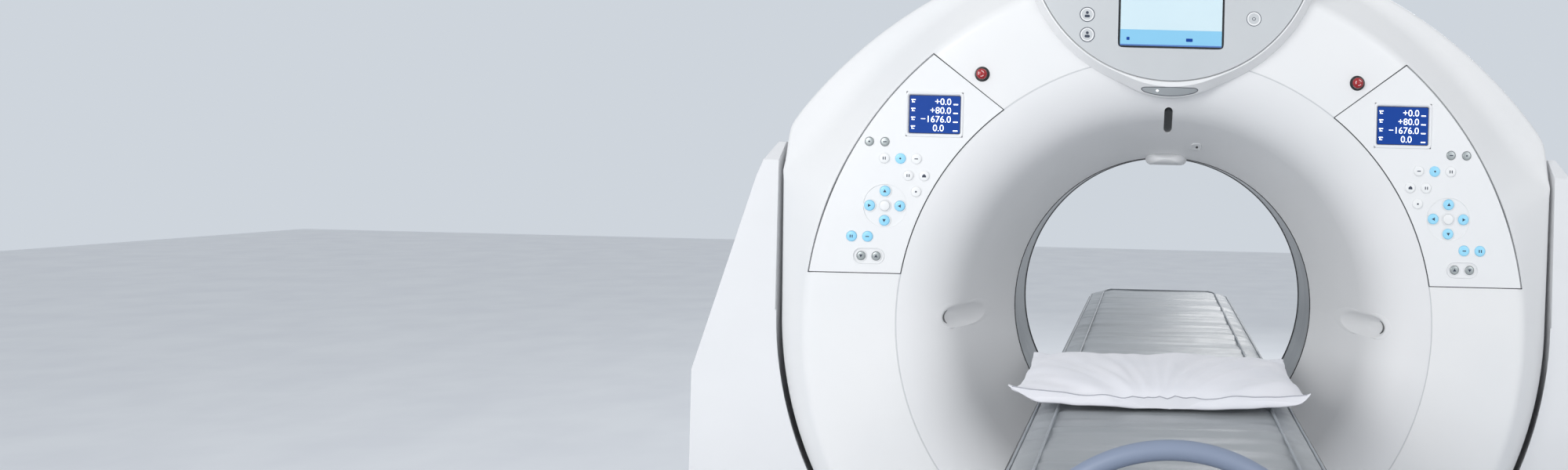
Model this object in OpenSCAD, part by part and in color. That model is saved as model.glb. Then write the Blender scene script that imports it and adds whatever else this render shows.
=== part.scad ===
// Whole-body tomography scanner with a tilting ring gantry and a patient couch.
// Millimetres. X is across, Y runs along the scan axis from couch to gantry, Z is up.
// The origin is on the floor under the centre of the patient opening.

/* [Gantry] */
// Radius of the patient opening
bore_r = 390; // [384:1:392]
// Half length of the scan window
window_half = 109; // [105:1:112]
// Angle of the funnel wall to the scan axis
funnel_angle = 20; // [19:0.5:21]
// Half width of the seam gap
seam_gap = 1.25; // [1:0.05:1.5]
// Half depth of the gantry
half_depth = 449; // [446:1:452]
// Half width of the gantry
half_width = 926; // [922:1:930]
// Room between the widest ring of the gantry and the floor
floor_room = 74; // [70:1:82]
// Room between the arched top and the height of the widest ring
top_inset = 7; // [4:1:10]
// Drop of the centre of the arched top below the scan axis
top_arc_drop = 223; // [218:1:228]
// Thickness of the cover walls
cover_t = 8; // [7:0.5:9]

/* [Rotor] */
// Radial room between the rotating drum and the widest ring of the gantry
drum_room = 126; // [122:1:130]
// Radial clearance of the main bearing
race_gap = 0.05; // [0.03:0.01:0.08]
// Distance from the patient opening to the circle where the bearing races meet
race_room = 115; // [112:1:118]
// Air gap of the ring drive
air_gap = 3; // [2.5:0.5:4]
// Place of the focal spot between the scan window and the drum's wall
focus_share = 0.512; // [0.5:0.002:0.53]

/* [Controls] */
// Radius of the coloured keys
key_r = 12.25; // [12:0.05:12.5]
// Radius of the small grey keys
grey_key_r = 10.5; // [10.2:0.1:10.8]
// Gap around each key
key_gap = 0.4; // [0.35:0.05:0.5]
// Height of the keys above the panel
key_h = 3; // [2.5:0.5:4]
// Radius of the emergency buttons
stop_r = 12.5; // [12:0.1:13]
// Width of the touch screen
screen_w = 240; // [236:1:244]
// Height of the touch screen
screen_h = 184; // [180:1:188]
// Radius of the display pod at the face
pod_r = 349; // [346:1:352]

/* [Stand] */
// Room between the side of the gantry and the outer side of the stand
side_room = 209; // [205:1:214]
// Radius of the tilt shafts
shaft_r = 60; // [55:1:64]
// Radial clearance of the tilt shafts
shaft_gap = 0.05; // [0.03:0.01:0.08]
// Height of the floor beams
beam_h = 60; // [55:1:62]
// Radius of the floor anchor holes
anchor_r = 10; // [9:0.5:12]

/* [Couch] */
// Drop of the pad's surface below the scan axis
pad_drop = 80; // [76:1:84]
// Thickness of the pad
pad_t = 24; // [22:1:26]
// Width of the couch top
top_w = 500; // [496:1:504]
// Length of the couch top
top_l = 2450; // [2440:5:2460]
// Length of the couch top that is on the couch side of the scan plane
top_near = 1500; // [1495:1:1505]
// Radius of the end handle's tube
handle_r = 13; // [12:0.5:14]
// Radius of the end handle's hoop
hoop_r = 215; // [212:1:218]
// Sliding gap between the guides of the couch
guide_gap = 0.5; // [0.4:0.05:0.6]

/* [Hidden] */
axis_h = half_width + floor_room;
cover_round = 240;
face_drop = 15;
face_scale = half_width / 926;
seam_r = 620 * face_scale;
face_r = 835 * face_scale;
ridge_r = 916 * face_scale;
ridge_y = half_depth - 99;
top_arc_r = half_width - top_inset + top_arc_drop;
stand_half = half_width + side_room;
outline_cut = half_width - 46;
shell_half = half_depth - 219;
stand_gap = 0.048 * side_room;
stand_room_r = norm([half_width, half_depth - 114]) + 12;
cover_split = 0.756 * half_width;
lip_r = ((seam_r - bore_r) * cos(funnel_angle)
    - (half_depth - window_half) * sin(funnel_angle)) / (1 - sin(funnel_angle));
lip_y = -half_depth + lip_r;
drum_r = half_width - drum_room;
focus_r = round(bore_r + focus_share * (drum_r - bore_r));
drum_y = 60;
race_r = bore_r + race_room;
race_y0 = 95;
race_y1 = 165;
frame_ring_r = drum_r + 40;
stator_r = drum_r + 12 + air_gap;
track_radii = [drum_r - 88, drum_r - 64, drum_r - 40, drum_r - 16];
upright_x0 = half_width + 0.24 * side_room;
upright_x1 = half_width + 0.585 * side_room;
foot_x = stand_half - 125;
beam_y = half_depth - 64;
panel_tip = [381.7, 488.5] * face_scale;
panel_corner = [550, 617] * face_scale;
panel_low = 103.5 * face_scale;
panel_dir = (panel_corner - panel_tip) / norm(panel_corner - panel_tip);
panel_normal = [-panel_dir[1], panel_dir[0]];
panel_t = 5;
panel_deep = 40;
lcd_at = [542, 474] * face_scale;
lcd_size = [132, 104] * face_scale;
mode_keys = [[581, 370], [618, 370], [655, 370], [562, 331], [599, 331], [580, 294]] * face_scale;
pad_centre = [652, 260] * face_scale;
pad_keys = [[0, 34], [-35, 0], [0, 0], [35, 0], [0, -35]] * face_scale;
blue_keys = [[690, 188], [727, 188]] * face_scale;
grey_keys = [[655, 408], [691, 408], [669, 143], [704, 143]] * face_scale;
stop_at = [434, 570] * face_scale;
slot_at = bore_r + 0.3848 * (seam_r - bore_r);
cup_x = bore_r + 0.4044 * (seam_r - bore_r);
pod_z = top_arc_r - top_arc_drop - 29;
pod_depth = 29;
plate_r = pod_r - 20;
chin_r = 200;
screen_z = pod_z - 161;
lamp_z = pod_z - 354;
chin_z = pod_z - 364 + chin_r;
top_z = axis_h - pad_drop;
shell_z = top_z - pad_t;
belly = 95;
belly_r = 457;
top_y0 = -top_near;
top_y1 = top_l - top_near;
rail_z = axis_h - 222;
deck_z = axis_h - 330;
deck_rise = 75;
couch_y0 = -2750;
couch_y1 = -900;
column_y = -1825;

// Spins a profile, drawn as radius and Y, about the scan axis
module about_axis(drop = 0) {
    translate([0, 0, axis_h - drop])
        rotate([-90, 0, 0])
            rotate_extrude($fn = cover_round)
                children();
}

// Extrudes a shape drawn in X and height over the scan axis, from y0 to y1
module along_y(y0, y1) {
    translate([0, y1, axis_h])
        rotate([90, 0, 0])
            linear_extrude(height = y1 - y0)
                children();
}

// Extrudes a shape drawn in Y and Z, from x0 to x1
module along_x(x0, x1) {
    translate([x0, 0, 0])
        rotate([90, 0, 90])
            linear_extrude(height = x1 - x0)
                children();
}

// Ring about the scan axis
module axis_ring(outer, inner, y0, y1) {
    along_y(y0, y1)
        difference() {
            circle(r = outer, $fn = cover_round);
            circle(r = inner, $fn = cover_round);
        }
}

// Round bar along Y at a place on the face
module pin_y(x, z, r, y0, y1) {
    along_y(y0, y1)
        translate([x, z])
            circle(r = r, $fn = 64);
}

module box_from(low, high) {
    translate(low)
        cube(high - low);
}

// Front outline of the tilting body, moved inward by inset
module gantry_outline(inset) {
    difference() {
        intersection() {
            translate([0, -top_arc_drop])
                circle(r = top_arc_r - inset, $fn = cover_round);
            union() {
                circle(r = half_width - inset, $fn = cover_round);
                translate([-half_width + inset, 0])
                    square([2 * (half_width - inset), top_arc_r]);
            }
        }
        translate([-2 * half_width, -outline_cut + inset - half_width])
            square([4 * half_width, half_width]);
    }
}

// Profile of the two bevels from the face to the widest part
module bevel_profile(inset) {
    s = 0.6 * inset;
    polygon([
        [0, -half_depth + inset],
        [face_r - s, -half_depth + inset],
        [ridge_r - inset * 0.95, -ridge_y + s * 0.8],
        [ridge_r + 130 - inset, -ridge_y + 46 + s],
        [ridge_r + 130 - inset, ridge_y - 46 - s],
        [ridge_r - inset * 0.95, ridge_y - s * 0.8],
        [face_r - s, half_depth - inset],
        [0, half_depth - inset]
    ]);
}

// Whole tilting body without its opening
module gantry_solid(inset) {
    intersection() {
        along_y(-half_depth + inset, half_depth - inset)
            gantry_outline(inset);
        about_axis(face_drop)
            bevel_profile(inset);
    }
}

// Profile of the funnel's hollow, widened by grow; over runs the cut past the shape
module funnel_profile(grow, over = 0) {
    r = lip_r - grow;
    difference() {
        polygon([
            [-over, -half_depth - 20 - over],
            [seam_r + over, -half_depth - 20 - over],
            [seam_r + over, lip_y],
            [seam_r, lip_y],
            [seam_r - r * cos(funnel_angle), lip_y - r * sin(funnel_angle)],
            [bore_r + grow / cos(funnel_angle) - over * tan(funnel_angle), -window_half + over],
            [-over, -window_half + over]
        ]);
        translate([seam_r, lip_y])
            circle(r = r, $fn = cover_round);
    }
}

// Hollow of the front funnel as a solid
module funnel_solid(grow) {
    about_axis()
        funnel_profile(grow);
}

// Bell-shaped wall between the scan window and the seam
module bore_ring() {
    about_axis()
        intersection() {
            difference() {
                funnel_profile(cover_t);
                funnel_profile(0, 4);
            }
            translate([0, -half_depth - 5])
                square([seam_r - seam_gap, half_depth - window_half + 5]);
        }
    axis_ring(seam_r + 20, seam_r - 22, -half_depth + cover_t, -half_depth + cover_t + 5);
}

// Shape of a control panel on the face, moved outward by grow
module panel_shape(grow) {
    low = panel_tip + panel_normal * grow - panel_dir * 150;
    high = panel_corner + panel_normal * grow + panel_dir * 250;
    difference() {
        intersection() {
            polygon([
                low, high, [half_width, high[1]], [half_width, panel_low - grow],
                [seam_r - 120, panel_low - grow]
            ]);
            translate([0, -face_drop])
                circle(r = face_r - 3 + grow, $fn = cover_round);
        }
        circle(r = seam_r + seam_gap - min(grow, 0), $fn = cover_round);
    }
}

// Half of the outer front cover's shell, before its openings
module cover_shell() {
    difference() {
        gantry_solid(0);
        gantry_solid(cover_t);
        along_y(-shell_half - 1, half_depth + 10)
            square(2400, center = true);
        along_y(-half_depth - 10, 0)
            circle(r = seam_r + seam_gap, $fn = cover_round);
    }
}

// Stadium shape, length along X
module stadium(length, width) {
    square([length - width, width], center = true);
    translate([-(length - width) / 2, 0])
        circle(d = width, $fn = 64);
    translate([(length - width) / 2, 0])
        circle(d = width, $fn = 64);
}

module front_cover() {
    color([0.93, 0.93, 0.93])
    difference() {
        cover_shell();
        for (side = [0, 1])
            mirror([side, 0, 0]) {
                along_y(-half_depth - 1, -half_depth + panel_t)
                    panel_shape(1);
                along_y(-half_depth - 1, -half_depth + 60)
                    panel_shape(-3.5);
                pin_y(stop_at[0], stop_at[1], 6.5, -half_depth - 10, -half_depth + 60);
            }
        along_y(-half_depth - 1, -half_depth + cover_t + 1)
            translate([0, screen_z])
                square([150, 120], center = true);
    }
}

module rear_cover() {
    color([0.93, 0.93, 0.93])
    difference() {
        mirror([0, 1, 0])
            cover_shell();
        for (side = [-1, 1])
            for (row = [0:7])
                along_y(half_depth - 60, half_depth + 10)
                    translate([side * 0.806 * seam_r, -0.903 * seam_r + row * 16])
                        stadium(150, 7);
        along_y(half_depth - 3, half_depth + 10)
            translate([0, pod_z - 167])
                difference() {
                    square([420, 140], center = true);
                    square([416, 136], center = true);
                }
    }
}

module outer_shell() {
    color([0.93, 0.93, 0.93])
    difference() {
        union() {
            along_y(-shell_half, shell_half)
                difference() {
                    gantry_outline(0);
                    gantry_outline(cover_t);
                }
            for (side = [-1, 1])
                along_y(side * (shell_half - 2) - 12, side * (shell_half - 2) + 12)
                    difference() {
                        gantry_outline(cover_t);
                        gantry_outline(cover_t + 5);
                    }
        }
        along_x(-1100, 1100)
            translate([0, axis_h])
                circle(r = shaft_r + 12, $fn = 96);
    }
}

// Places where the ring takes the three positioning lights
module light_stadium(side, length, width) {
    translate([side * cup_x, 0])
        stadium(length, width);
}

// Upright slot of the light above the opening
module light_slot() {
    translate([0, slot_at])
        rotate(90)
            stadium(57, 20);
}

module front_bore_ring() {
    color([0.91, 0.91, 0.91])
    difference() {
        bore_ring();
        for (side = [0, 1])
            mirror([side, 0, 0])
                along_y(-half_depth + cover_t - 1, -half_depth + 60)
                    panel_shape(-3.5);
        for (side = [-1, 1])
            along_y(-half_depth - 5, -180)
                light_stadium(side, 94, 57);
        along_y(-half_depth + 20, -200)
            light_slot();
    }
}

module rear_bore_ring() {
    color([0.91, 0.91, 0.91])
    mirror([0, 1, 0])
        bore_ring();
}

module laser_windows() {
    color([0.1, 0.1, 0.11])
    for (side = [-1, 1])
        difference() {
            intersection() {
                along_y(-half_depth - 5, -180)
                    light_stadium(side, 94, 57);
                funnel_solid(30);
            }
            funnel_solid(0.6);
            intersection() {
                along_y(-half_depth - 5, -180)
                    light_stadium(side, 88, 51);
                funnel_solid(26);
            }
        }
    color([0.1, 0.1, 0.11])
    difference() {
        intersection() {
            along_y(-half_depth + 20, -200)
                light_slot();
            funnel_solid(7);
        }
        funnel_solid(3);
    }
}

module bore_sensor_housing() {
    color([0.86, 0.87, 0.88])
    intersection() {
        along_y(-150, -window_half - 2)
            translate([0, bore_r - 3])
                stadium(109, 32);
        funnel_solid(0);
    }
}

module scan_window() {
    color([0.47, 0.49, 0.5])
    axis_ring(bore_r + 6, bore_r + 1, -window_half, window_half);
}

// Shallow bowl of the display pod, with a chin around the status lamp
module pod_bowl() {
    translate([0, -half_depth, axis_h + pod_z])
        rotate([90, 0, 0])
            cylinder(h = pod_depth, r1 = pod_r, r2 = plate_r + 3, $fn = cover_round);
    translate([0, -half_depth, axis_h + chin_z])
        rotate([90, 0, 0])
            cylinder(h = pod_depth, r1 = chin_r, r2 = chin_r - 24, $fn = cover_round);
}

// Front outline of the display pod
module pod_outline() {
    translate([0, pod_z])
        circle(r = pod_r, $fn = cover_round);
    translate([0, chin_z])
        circle(r = chin_r, $fn = cover_round);
}

// Limit of the pod over the arched top
module pod_limit(inset) {
    translate([0, -top_arc_drop])
        circle(r = top_arc_r + 14 - inset, $fn = cover_round);
}

module display_pod() {
    color([0.93, 0.93, 0.93])
    difference() {
        union() {
            intersection() {
                pod_bowl();
                along_y(-half_depth - pod_depth, -half_depth)
                    pod_limit(0);
            }
            difference() {
                along_y(-half_depth, -shell_half - 20)
                    intersection() {
                        translate([0, pod_z])
                            circle(r = pod_r, $fn = cover_round);
                        pod_limit(0);
                    }
                gantry_solid(0);
            }
            intersection() {
                along_y(-half_depth, -half_depth + 60)
                    pod_outline();
                funnel_solid(-0.5);
            }
        }
        along_y(-half_depth - pod_depth - 1, -half_depth - 3)
            translate([0, screen_z])
                square([screen_w + 1, screen_h + 1], center = true);
        along_y(-half_depth - 15, -half_depth + 5)
            translate([0, screen_z])
                square([150, 120], center = true);
        translate([0, -half_depth, axis_h + lamp_z])
            cube([134, 60, 24], center = true);
    }
}

module display_plate() {
    color([0.78, 0.8, 0.8])
    along_y(-half_depth - pod_depth - 7, -half_depth - pod_depth)
        difference() {
            intersection() {
                translate([0, pod_z])
                    circle(r = plate_r, $fn = cover_round);
                pod_limit(6);
            }
            translate([0, screen_z])
                square([screen_w, screen_h], center = true);
        }
}

module touch_screen() {
    color([0.6, 0.72, 0.88])
    along_y(-half_depth - pod_depth - 1, -half_depth - 3)
        translate([0, screen_z])
            square([screen_w, screen_h], center = true);
}

module status_lamp() {
    color([0.9, 0.95, 0.9])
    intersection() {
        translate([0, -half_depth, axis_h + lamp_z])
            cube([134, 60, 24], center = true);
        pod_bowl();
    }
}

// Control panel on the couch's right-hand side
module control_panel() {
    difference() {
        union() {
            along_y(-half_depth, -half_depth + panel_t)
                panel_shape(0);
            along_y(-half_depth + panel_t, -half_depth + panel_deep)
                panel_shape(-4);
        }
        along_y(-half_depth + panel_t, -half_depth + 20)
            panel_shape(-5.5);
        along_y(-half_depth + 24, -half_depth + panel_deep - 4)
            panel_shape(-5.5);
        along_y(-half_depth - 1, -half_depth + 15)
            translate(lcd_at)
                square(lcd_size, center = true);
        for (at = mode_keys)
            pin_y(at[0], at[1], key_r, -half_depth - 1, -half_depth + panel_t + 1);
        for (at = pad_keys)
            key_hole(pad_centre[0] + at[0], pad_centre[1] + at[1], key_r);
        for (at = blue_keys)
            key_hole(at[0], at[1], key_r);
        for (at = grey_keys)
            key_hole(at[0], at[1], grey_key_r);
        pin_y(pad_centre[0], pad_centre[1], 50, -half_depth - 1, -half_depth + 1.2);
        along_y(-half_depth - 1, -half_depth + 1.2)
            translate((grey_keys[2] + grey_keys[3]) / 2)
                stadium(68, 32);
    }
}

module key_hole(x, z, r) {
    pin_y(x, z, r + key_gap, -half_depth - 1, -half_depth + panel_t + 1);
}

module right_control_panel() {
    color([0.91, 0.91, 0.91])
    control_panel();
}

module left_control_panel() {
    color([0.91, 0.91, 0.91])
    mirror([1, 0, 0])
        control_panel();
}

module panel_displays() {
    color([0.15, 0.28, 0.62])
    for (side = [0, 1])
        mirror([side, 0, 0])
            along_y(-half_depth + 1, -half_depth + 15)
                translate(lcd_at)
                    square(lcd_size, center = true);
}

// Round key with a flange behind the panel
module panel_key(x, z, r, rise = key_h) {
    pin_y(x, z, r, -half_depth - rise, -half_depth + panel_t + 2.5);
    pin_y(x, z, r + 1.2, -half_depth + panel_t + 0.5, -half_depth + panel_t + 2.5);
    pin_y(x, z, 4, -half_depth + panel_t + 2.5, -half_depth + 17.2);
}

// Key without travel, seated in its hole
module seated_key(x, z, r, rise = key_h) {
    pin_y(x, z, r, -half_depth - rise, -half_depth + panel_t);
}

module fixed_panel_keys() {
    color([0.6, 0.82, 0.94])
    for (at = mode_keys)
        seated_key(at[0], at[1], key_r);
    color([0.6, 0.82, 0.94])
    mirror([1, 0, 0]) {
        for (at = mode_keys)
            seated_key(at[0], at[1], key_r);
        for (at = pad_keys)
            fixed_in_hole(pad_centre[0] + at[0], pad_centre[1] + at[1], key_r);
        for (at = blue_keys)
            fixed_in_hole(at[0], at[1], key_r);
        for (at = grey_keys)
            fixed_in_hole(at[0], at[1], grey_key_r);
    }
}

// Key without travel in a loose hole, seated on the board behind it
module fixed_in_hole(x, z, r) {
    pin_y(x, z, r, -half_depth - 2, -half_depth + panel_t + 2.5);
    pin_y(x, z, 4, -half_depth + panel_t + 2.5, -half_depth + 20);
}

module emergency_collars() {
    color([0.06, 0.06, 0.06])
    for (side = [-1, 1])
        along_y(-half_depth - 5, -half_depth)
            translate([side * stop_at[0], stop_at[1]])
                difference() {
                    circle(r = stop_r + 2.5, $fn = 64);
                    circle(r = stop_r + 0.5, $fn = 64);
                }
}

module emergency_button(side) {
    pin_y(side * stop_at[0], stop_at[1], stop_r, -half_depth - 17, -half_depth - 6.5);
    pin_y(side * stop_at[0], stop_at[1], 6, -half_depth - 6.5, -half_depth + 30);
    pin_y(side * stop_at[0], stop_at[1], 9, -half_depth + cover_t + 0.5, -half_depth + 12);
}

module left_emergency_button() {
    color([0.78, 0.17, 0.19])
    emergency_button(-1);
}

module right_emergency_button() {
    color([0.78, 0.17, 0.19])
    emergency_button(1);
}

module key_up() {
    color([0.6, 0.82, 0.94])
    panel_key(pad_centre[0] + pad_keys[0][0], pad_centre[1] + pad_keys[0][1], key_r);
}

module key_down() {
    color([0.6, 0.82, 0.94])
    panel_key(pad_centre[0] + pad_keys[4][0], pad_centre[1] + pad_keys[4][1], key_r);
}

module key_left() {
    color([0.6, 0.82, 0.94])
    panel_key(pad_centre[0] + pad_keys[1][0], pad_centre[1] + pad_keys[1][1], key_r);
}

module key_right() {
    color([0.6, 0.82, 0.94])
    panel_key(pad_centre[0] + pad_keys[3][0], pad_centre[1] + pad_keys[3][1], key_r);
}

module key_centre() {
    color([0.95, 0.95, 0.95])
    panel_key(pad_centre[0], pad_centre[1], key_r);
}

module key_blue_1() {
    color([0.6, 0.82, 0.94])
    panel_key(blue_keys[0][0], blue_keys[0][1], key_r);
}

module key_blue_2() {
    color([0.6, 0.82, 0.94])
    panel_key(blue_keys[1][0], blue_keys[1][1], key_r);
}

module key_grey_1() {
    color([0.67, 0.7, 0.7])
    panel_key(grey_keys[0][0], grey_keys[0][1], grey_key_r, 1);
}

module key_grey_2() {
    color([0.67, 0.7, 0.7])
    panel_key(grey_keys[1][0], grey_keys[1][1], grey_key_r, 1);
}

module key_grey_3() {
    color([0.67, 0.7, 0.7])
    panel_key(grey_keys[2][0], grey_keys[2][1], grey_key_r, 1);
}

module key_grey_4() {
    color([0.67, 0.7, 0.7])
    panel_key(grey_keys[3][0], grey_keys[3][1], grey_key_r, 1);
}

module tilt_frame() {
    color([0.55, 0.57, 0.6])
    difference() {
        union() {
            along_y(race_y0 + 15, race_y1 - 15)
                difference() {
                    gantry_outline(cover_t + 0.7);
                    circle(r = race_r + 40, $fn = cover_round);
                    for (turn = [22.5:45:359])
                        rotate(turn)
                            translate([(race_r + 66 + frame_ring_r) / 2, 0])
                                circle(r = 0.28 * (frame_ring_r - race_r - 66), $fn = 64);
                }
            axis_ring(race_r + 66, race_r + 40, race_y0, race_y1);
            axis_ring(frame_ring_r + 24, frame_ring_r, -160, race_y0 + 15);
            difference() {
                for (side = [0, 1])
                    mirror([side, 0, 0]) {
                        intersection() {
                            along_x(frame_ring_r - 20, half_width)
                                translate([0, axis_h])
                                    circle(r = 105, $fn = 96);
                            along_y(-200, 200)
                                gantry_outline(cover_t + 0.7);
                        }
                        along_x(half_width - cover_t - 2, upright_x1 - 1)
                            translate([0, axis_h])
                                circle(r = shaft_r, $fn = 96);
                    }
                along_y(-200, 200)
                    circle(r = frame_ring_r + 10, $fn = cover_round);
            }
        }
    }
}

module bearing_outer_race() {
    color([0.72, 0.73, 0.75])
    axis_ring(race_r + 40, race_r + race_gap, race_y0, race_y1);
}

module bearing_inner_race() {
    color([0.72, 0.73, 0.75])
    axis_ring(race_r, race_r - 27, race_y0, race_y1);
}

module drive_stator() {
    color([0.6, 0.42, 0.28])
    axis_ring(frame_ring_r, stator_r, -30, 40);
}

module drive_magnet_ring() {
    color([0.3, 0.31, 0.33])
    axis_ring(drum_r + 12, drum_r, -30, 40);
}

module rotor_drum() {
    color([0.75, 0.77, 0.8])
    difference() {
        union() {
            axis_ring(drum_r, race_r - 80, drum_y, drum_y + 30);
            axis_ring(drum_r, drum_r - 20, -150, drum_y);
            axis_ring(race_r - 27, race_r - 65, drum_y + 30, race_y1 + 3);
        }
        along_y(drum_y - 10, drum_y + 40)
            for (turn = [45, 135])
                rotate(turn)
                    translate([(race_r + drum_r) / 2 + 8, 0])
                        circle(r = 0.237 * (drum_r - race_r), $fn = 64);
    }
}

module slip_ring() {
    color([0.76, 0.6, 0.3])
    union() {
        axis_ring(drum_r, drum_r - 110, -158, -150);
        for (r = track_radii)
            axis_ring(r + 7, r - 7, -162, -158);
    }
}

module slip_ring_brushes() {
    color([0.25, 0.26, 0.28])
    translate([0, 0, axis_h])
        rotate([0, 145, 0])
            translate([0, 0, -axis_h]) {
                box_from([drum_r - 98, -215, axis_h - 40], [frame_ring_r + 26, -175, axis_h + 40]);
                box_from([frame_ring_r + 4, -215, axis_h - 40], [frame_ring_r + 24, -160, axis_h + 40]);
                for (r = track_radii)
                    pin_y(r, 0, 5, -176, -162.6);
            }
}

module xray_tube() {
    color([0.6, 0.62, 0.66])
    union() {
        pin_y(0, focus_r + 40, 88, -135, 30);
        pin_y(0, focus_r + 40, 60, -145, 40);
        box_from([-70, 20, axis_h + focus_r - 20], [70, drum_y, axis_h + focus_r + 100]);
        box_from([-130, -100, axis_h + focus_r + 20], [-80, drum_y, axis_h + focus_r + 90]);
        box_from([-45, -40, axis_h + focus_r - 60], [45, 40, axis_h + focus_r]);
    }
}

module collimator() {
    color([0.45, 0.47, 0.5])
    difference() {
        box_from([-95, -70, axis_h + focus_r - 135], [95, drum_y, axis_h + focus_r - 60]);
        box_from([-60, -9, axis_h + focus_r - 140], [60, 9, axis_h + focus_r - 50]);
    }
}

module rotor_power_units() {
    color([0.5, 0.55, 0.6])
    union() {
        box_from([70 - drum_r, -140, axis_h - 120], [5 - race_r, drum_y, axis_h + 130]);
        pin_y(190 - drum_r, 60, 30, -146, -140);
    }
    color([0.5, 0.55, 0.6])
    difference() {
        box_from([race_r - 5, -130, axis_h - 110], [drum_r - 80, drum_y, axis_h + 120]);
        for (z = [-80:20:90])
            box_from([race_r, -131, axis_h + z], [drum_r - 85, -110, axis_h + z + 8]);
    }
}

module detector_arc() {
    color([0.35, 0.38, 0.42])
    along_y(-80, drum_y)
        translate([0, focus_r])
            intersection() {
                difference() {
                    circle(r = focus_r + 530, $fn = cover_round);
                    circle(r = focus_r + 472, $fn = cover_round);
                }
                polygon([[0, 0], [-1200 * tan(24), -1200], [1200 * tan(24), -1200]]);
            }
}

// Front outline of the stand, moved inward by inset
module stand_outline(inset) {
    low = inset > 0 ? -axis_h - 5 : -axis_h;
    polygon([
        [-stand_half + inset, low],
        [-stand_half + inset, -150 - 0.15 * inset],
        [-stand_half + 0.694 * side_room + 0.945 * inset, 320 - 0.34 * inset],
        [-half_width - 0.14 * side_room + 0.67 * inset, 405 - inset],
        [half_width + 0.14 * side_room - 0.67 * inset, 405 - inset],
        [stand_half - 0.694 * side_room - 0.945 * inset, 320 - 0.34 * inset],
        [stand_half - inset, -150 - 0.15 * inset],
        [stand_half - inset, low]
    ]);
}

// Side outline of the stand, moved inward by inset
module stand_side(inset) {
    low = inset > 0 ? -5 : 0;
    side = ridge_y - inset;
    foot = half_depth + 1 - inset;
    polygon([
        [-foot, low],
        [-foot, 90 - 0.4 * inset],
        [-side, 230 - 0.3 * inset],
        [-side, axis_h + 360 - 0.5 * inset],
        [-side + 50 - 0.5 * inset, axis_h + 405 - inset],
        [side - 50 + 0.5 * inset, axis_h + 405 - inset],
        [side, axis_h + 360 - 0.5 * inset],
        [side, 230 - 0.3 * inset],
        [foot, 90 - 0.4 * inset],
        [foot, low]
    ]);
}

// Space that the tilting body sweeps through, widened by grow
module tilt_room(grow) {
    w = half_width + stand_gap + grow;
    intersection() {
        translate([0, 0, axis_h])
            sphere(r = stand_room_r + grow, $fn = cover_round);
        box_from([-w, -half_depth - 150, -100], [w, half_depth + 150, axis_h]);
    }
    box_from([-w, -half_depth - 150, axis_h - 1], [w, half_depth + 150, axis_h + 600]);
}

module stand_solid(inset) {
    difference() {
        intersection() {
            along_y(-half_depth - 11, half_depth + 11)
                stand_outline(inset);
            along_x(-stand_half - 65, stand_half + 65)
                stand_side(inset);
        }
        tilt_room(inset);
    }
}

module stand_shell() {
    difference() {
        stand_solid(0);
        stand_solid(cover_t);
        along_x(-upright_x0 - 24, upright_x0 + 24)
            translate([0, axis_h])
                circle(r = shaft_r + 6, $fn = 96);
    }
}

module left_stand_cover() {
    color([0.92, 0.92, 0.92])
    intersection() {
        stand_shell();
        box_from([-stand_half - 90, -half_depth - 90, -10], [-cover_split, half_depth + 90, axis_h + 600]);
    }
}

module right_stand_cover() {
    color([0.92, 0.92, 0.92])
    intersection() {
        stand_shell();
        box_from([cover_split, -half_depth - 90, -10], [stand_half + 90, half_depth + 90, axis_h + 600]);
    }
}

module lower_stand_cover() {
    color([0.92, 0.92, 0.92])
    difference() {
        intersection() {
            stand_shell();
            union() {
                box_from([-cover_split, -half_depth - 90, -10], [cover_split, -ridge_y + 50, 600]);
                box_from([-cover_split, ridge_y - 50, -10], [cover_split, half_depth + 90, 600]);
            }
        }
        box_from([-150, -half_depth - 20, -10], [150, -half_depth + 19, 36]);
    }
}

module base_frame() {
    color([0.4, 0.42, 0.45])
    difference() {
        union() {
            for (side = [-1, 1]) {
                box_from([-foot_x - 50, side * beam_y - 40, 0], [foot_x + 50, side * beam_y + 40, beam_h - 6]);
                box_from([side * foot_x - 50, -beam_y - 40, 0], [side * foot_x + 50, beam_y + 40, beam_h]);
                box_from([side * 90 - 30, couch_y1 - 6, 0], [side * 90 + 30, -beam_y + 40, 30]);
                for (x = [-1, 1])
                    box_from(
                        [x * 400 - 30, side * (beam_y + 47) - 10, 5],
                        [x * 400 + 30, side * (beam_y + 47) + 10, 50]
                    );
            }
            box_from([-150, -beam_y + 40, 0], [150, beam_y - 40, 8]);
            for (side = [0, 1])
                mirror([side, 0, 0])
                    along_x(upright_x0, upright_x1)
                        polygon([
                            [-300, beam_h], [-170, 0.62 * axis_h], [-120, axis_h + 90],
                            [120, axis_h + 90], [170, 0.62 * axis_h], [300, beam_h]
                        ]);
        }
        along_x(-1200, 1200)
            translate([0, axis_h])
                circle(r = shaft_r + 25, $fn = 96);
        for (x = [-1, 1])
            for (y = [-1, 1])
                translate([x * foot_x, y * beam_y, -5])
                    cylinder(r = anchor_r, h = 100, $fn = 48);
    }
}

module tilt_bearings() {
    color([0.7, 0.71, 0.73])
    for (side = [0, 1])
        mirror([side, 0, 0])
            along_x(upright_x0, upright_x1)
                translate([0, axis_h])
                    difference() {
                        circle(r = shaft_r + 25, $fn = 96);
                        circle(r = shaft_r + shaft_gap, $fn = 96);
                    }
}

module docking_cover() {
    color([0.9, 0.9, 0.9])
    difference() {
        along_x(-220, 220)
            polygon([
                [couch_y1, 0], [couch_y1, 45], [-half_depth - 1, 45], [-half_depth - 1, 0]
            ]);
        along_x(-214, 214)
            polygon([
                [couch_y1 - 5, -5], [couch_y1 - 5, 39], [-half_depth + 4, 39], [-half_depth + 4, -5]
            ]);
    }
}

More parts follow.
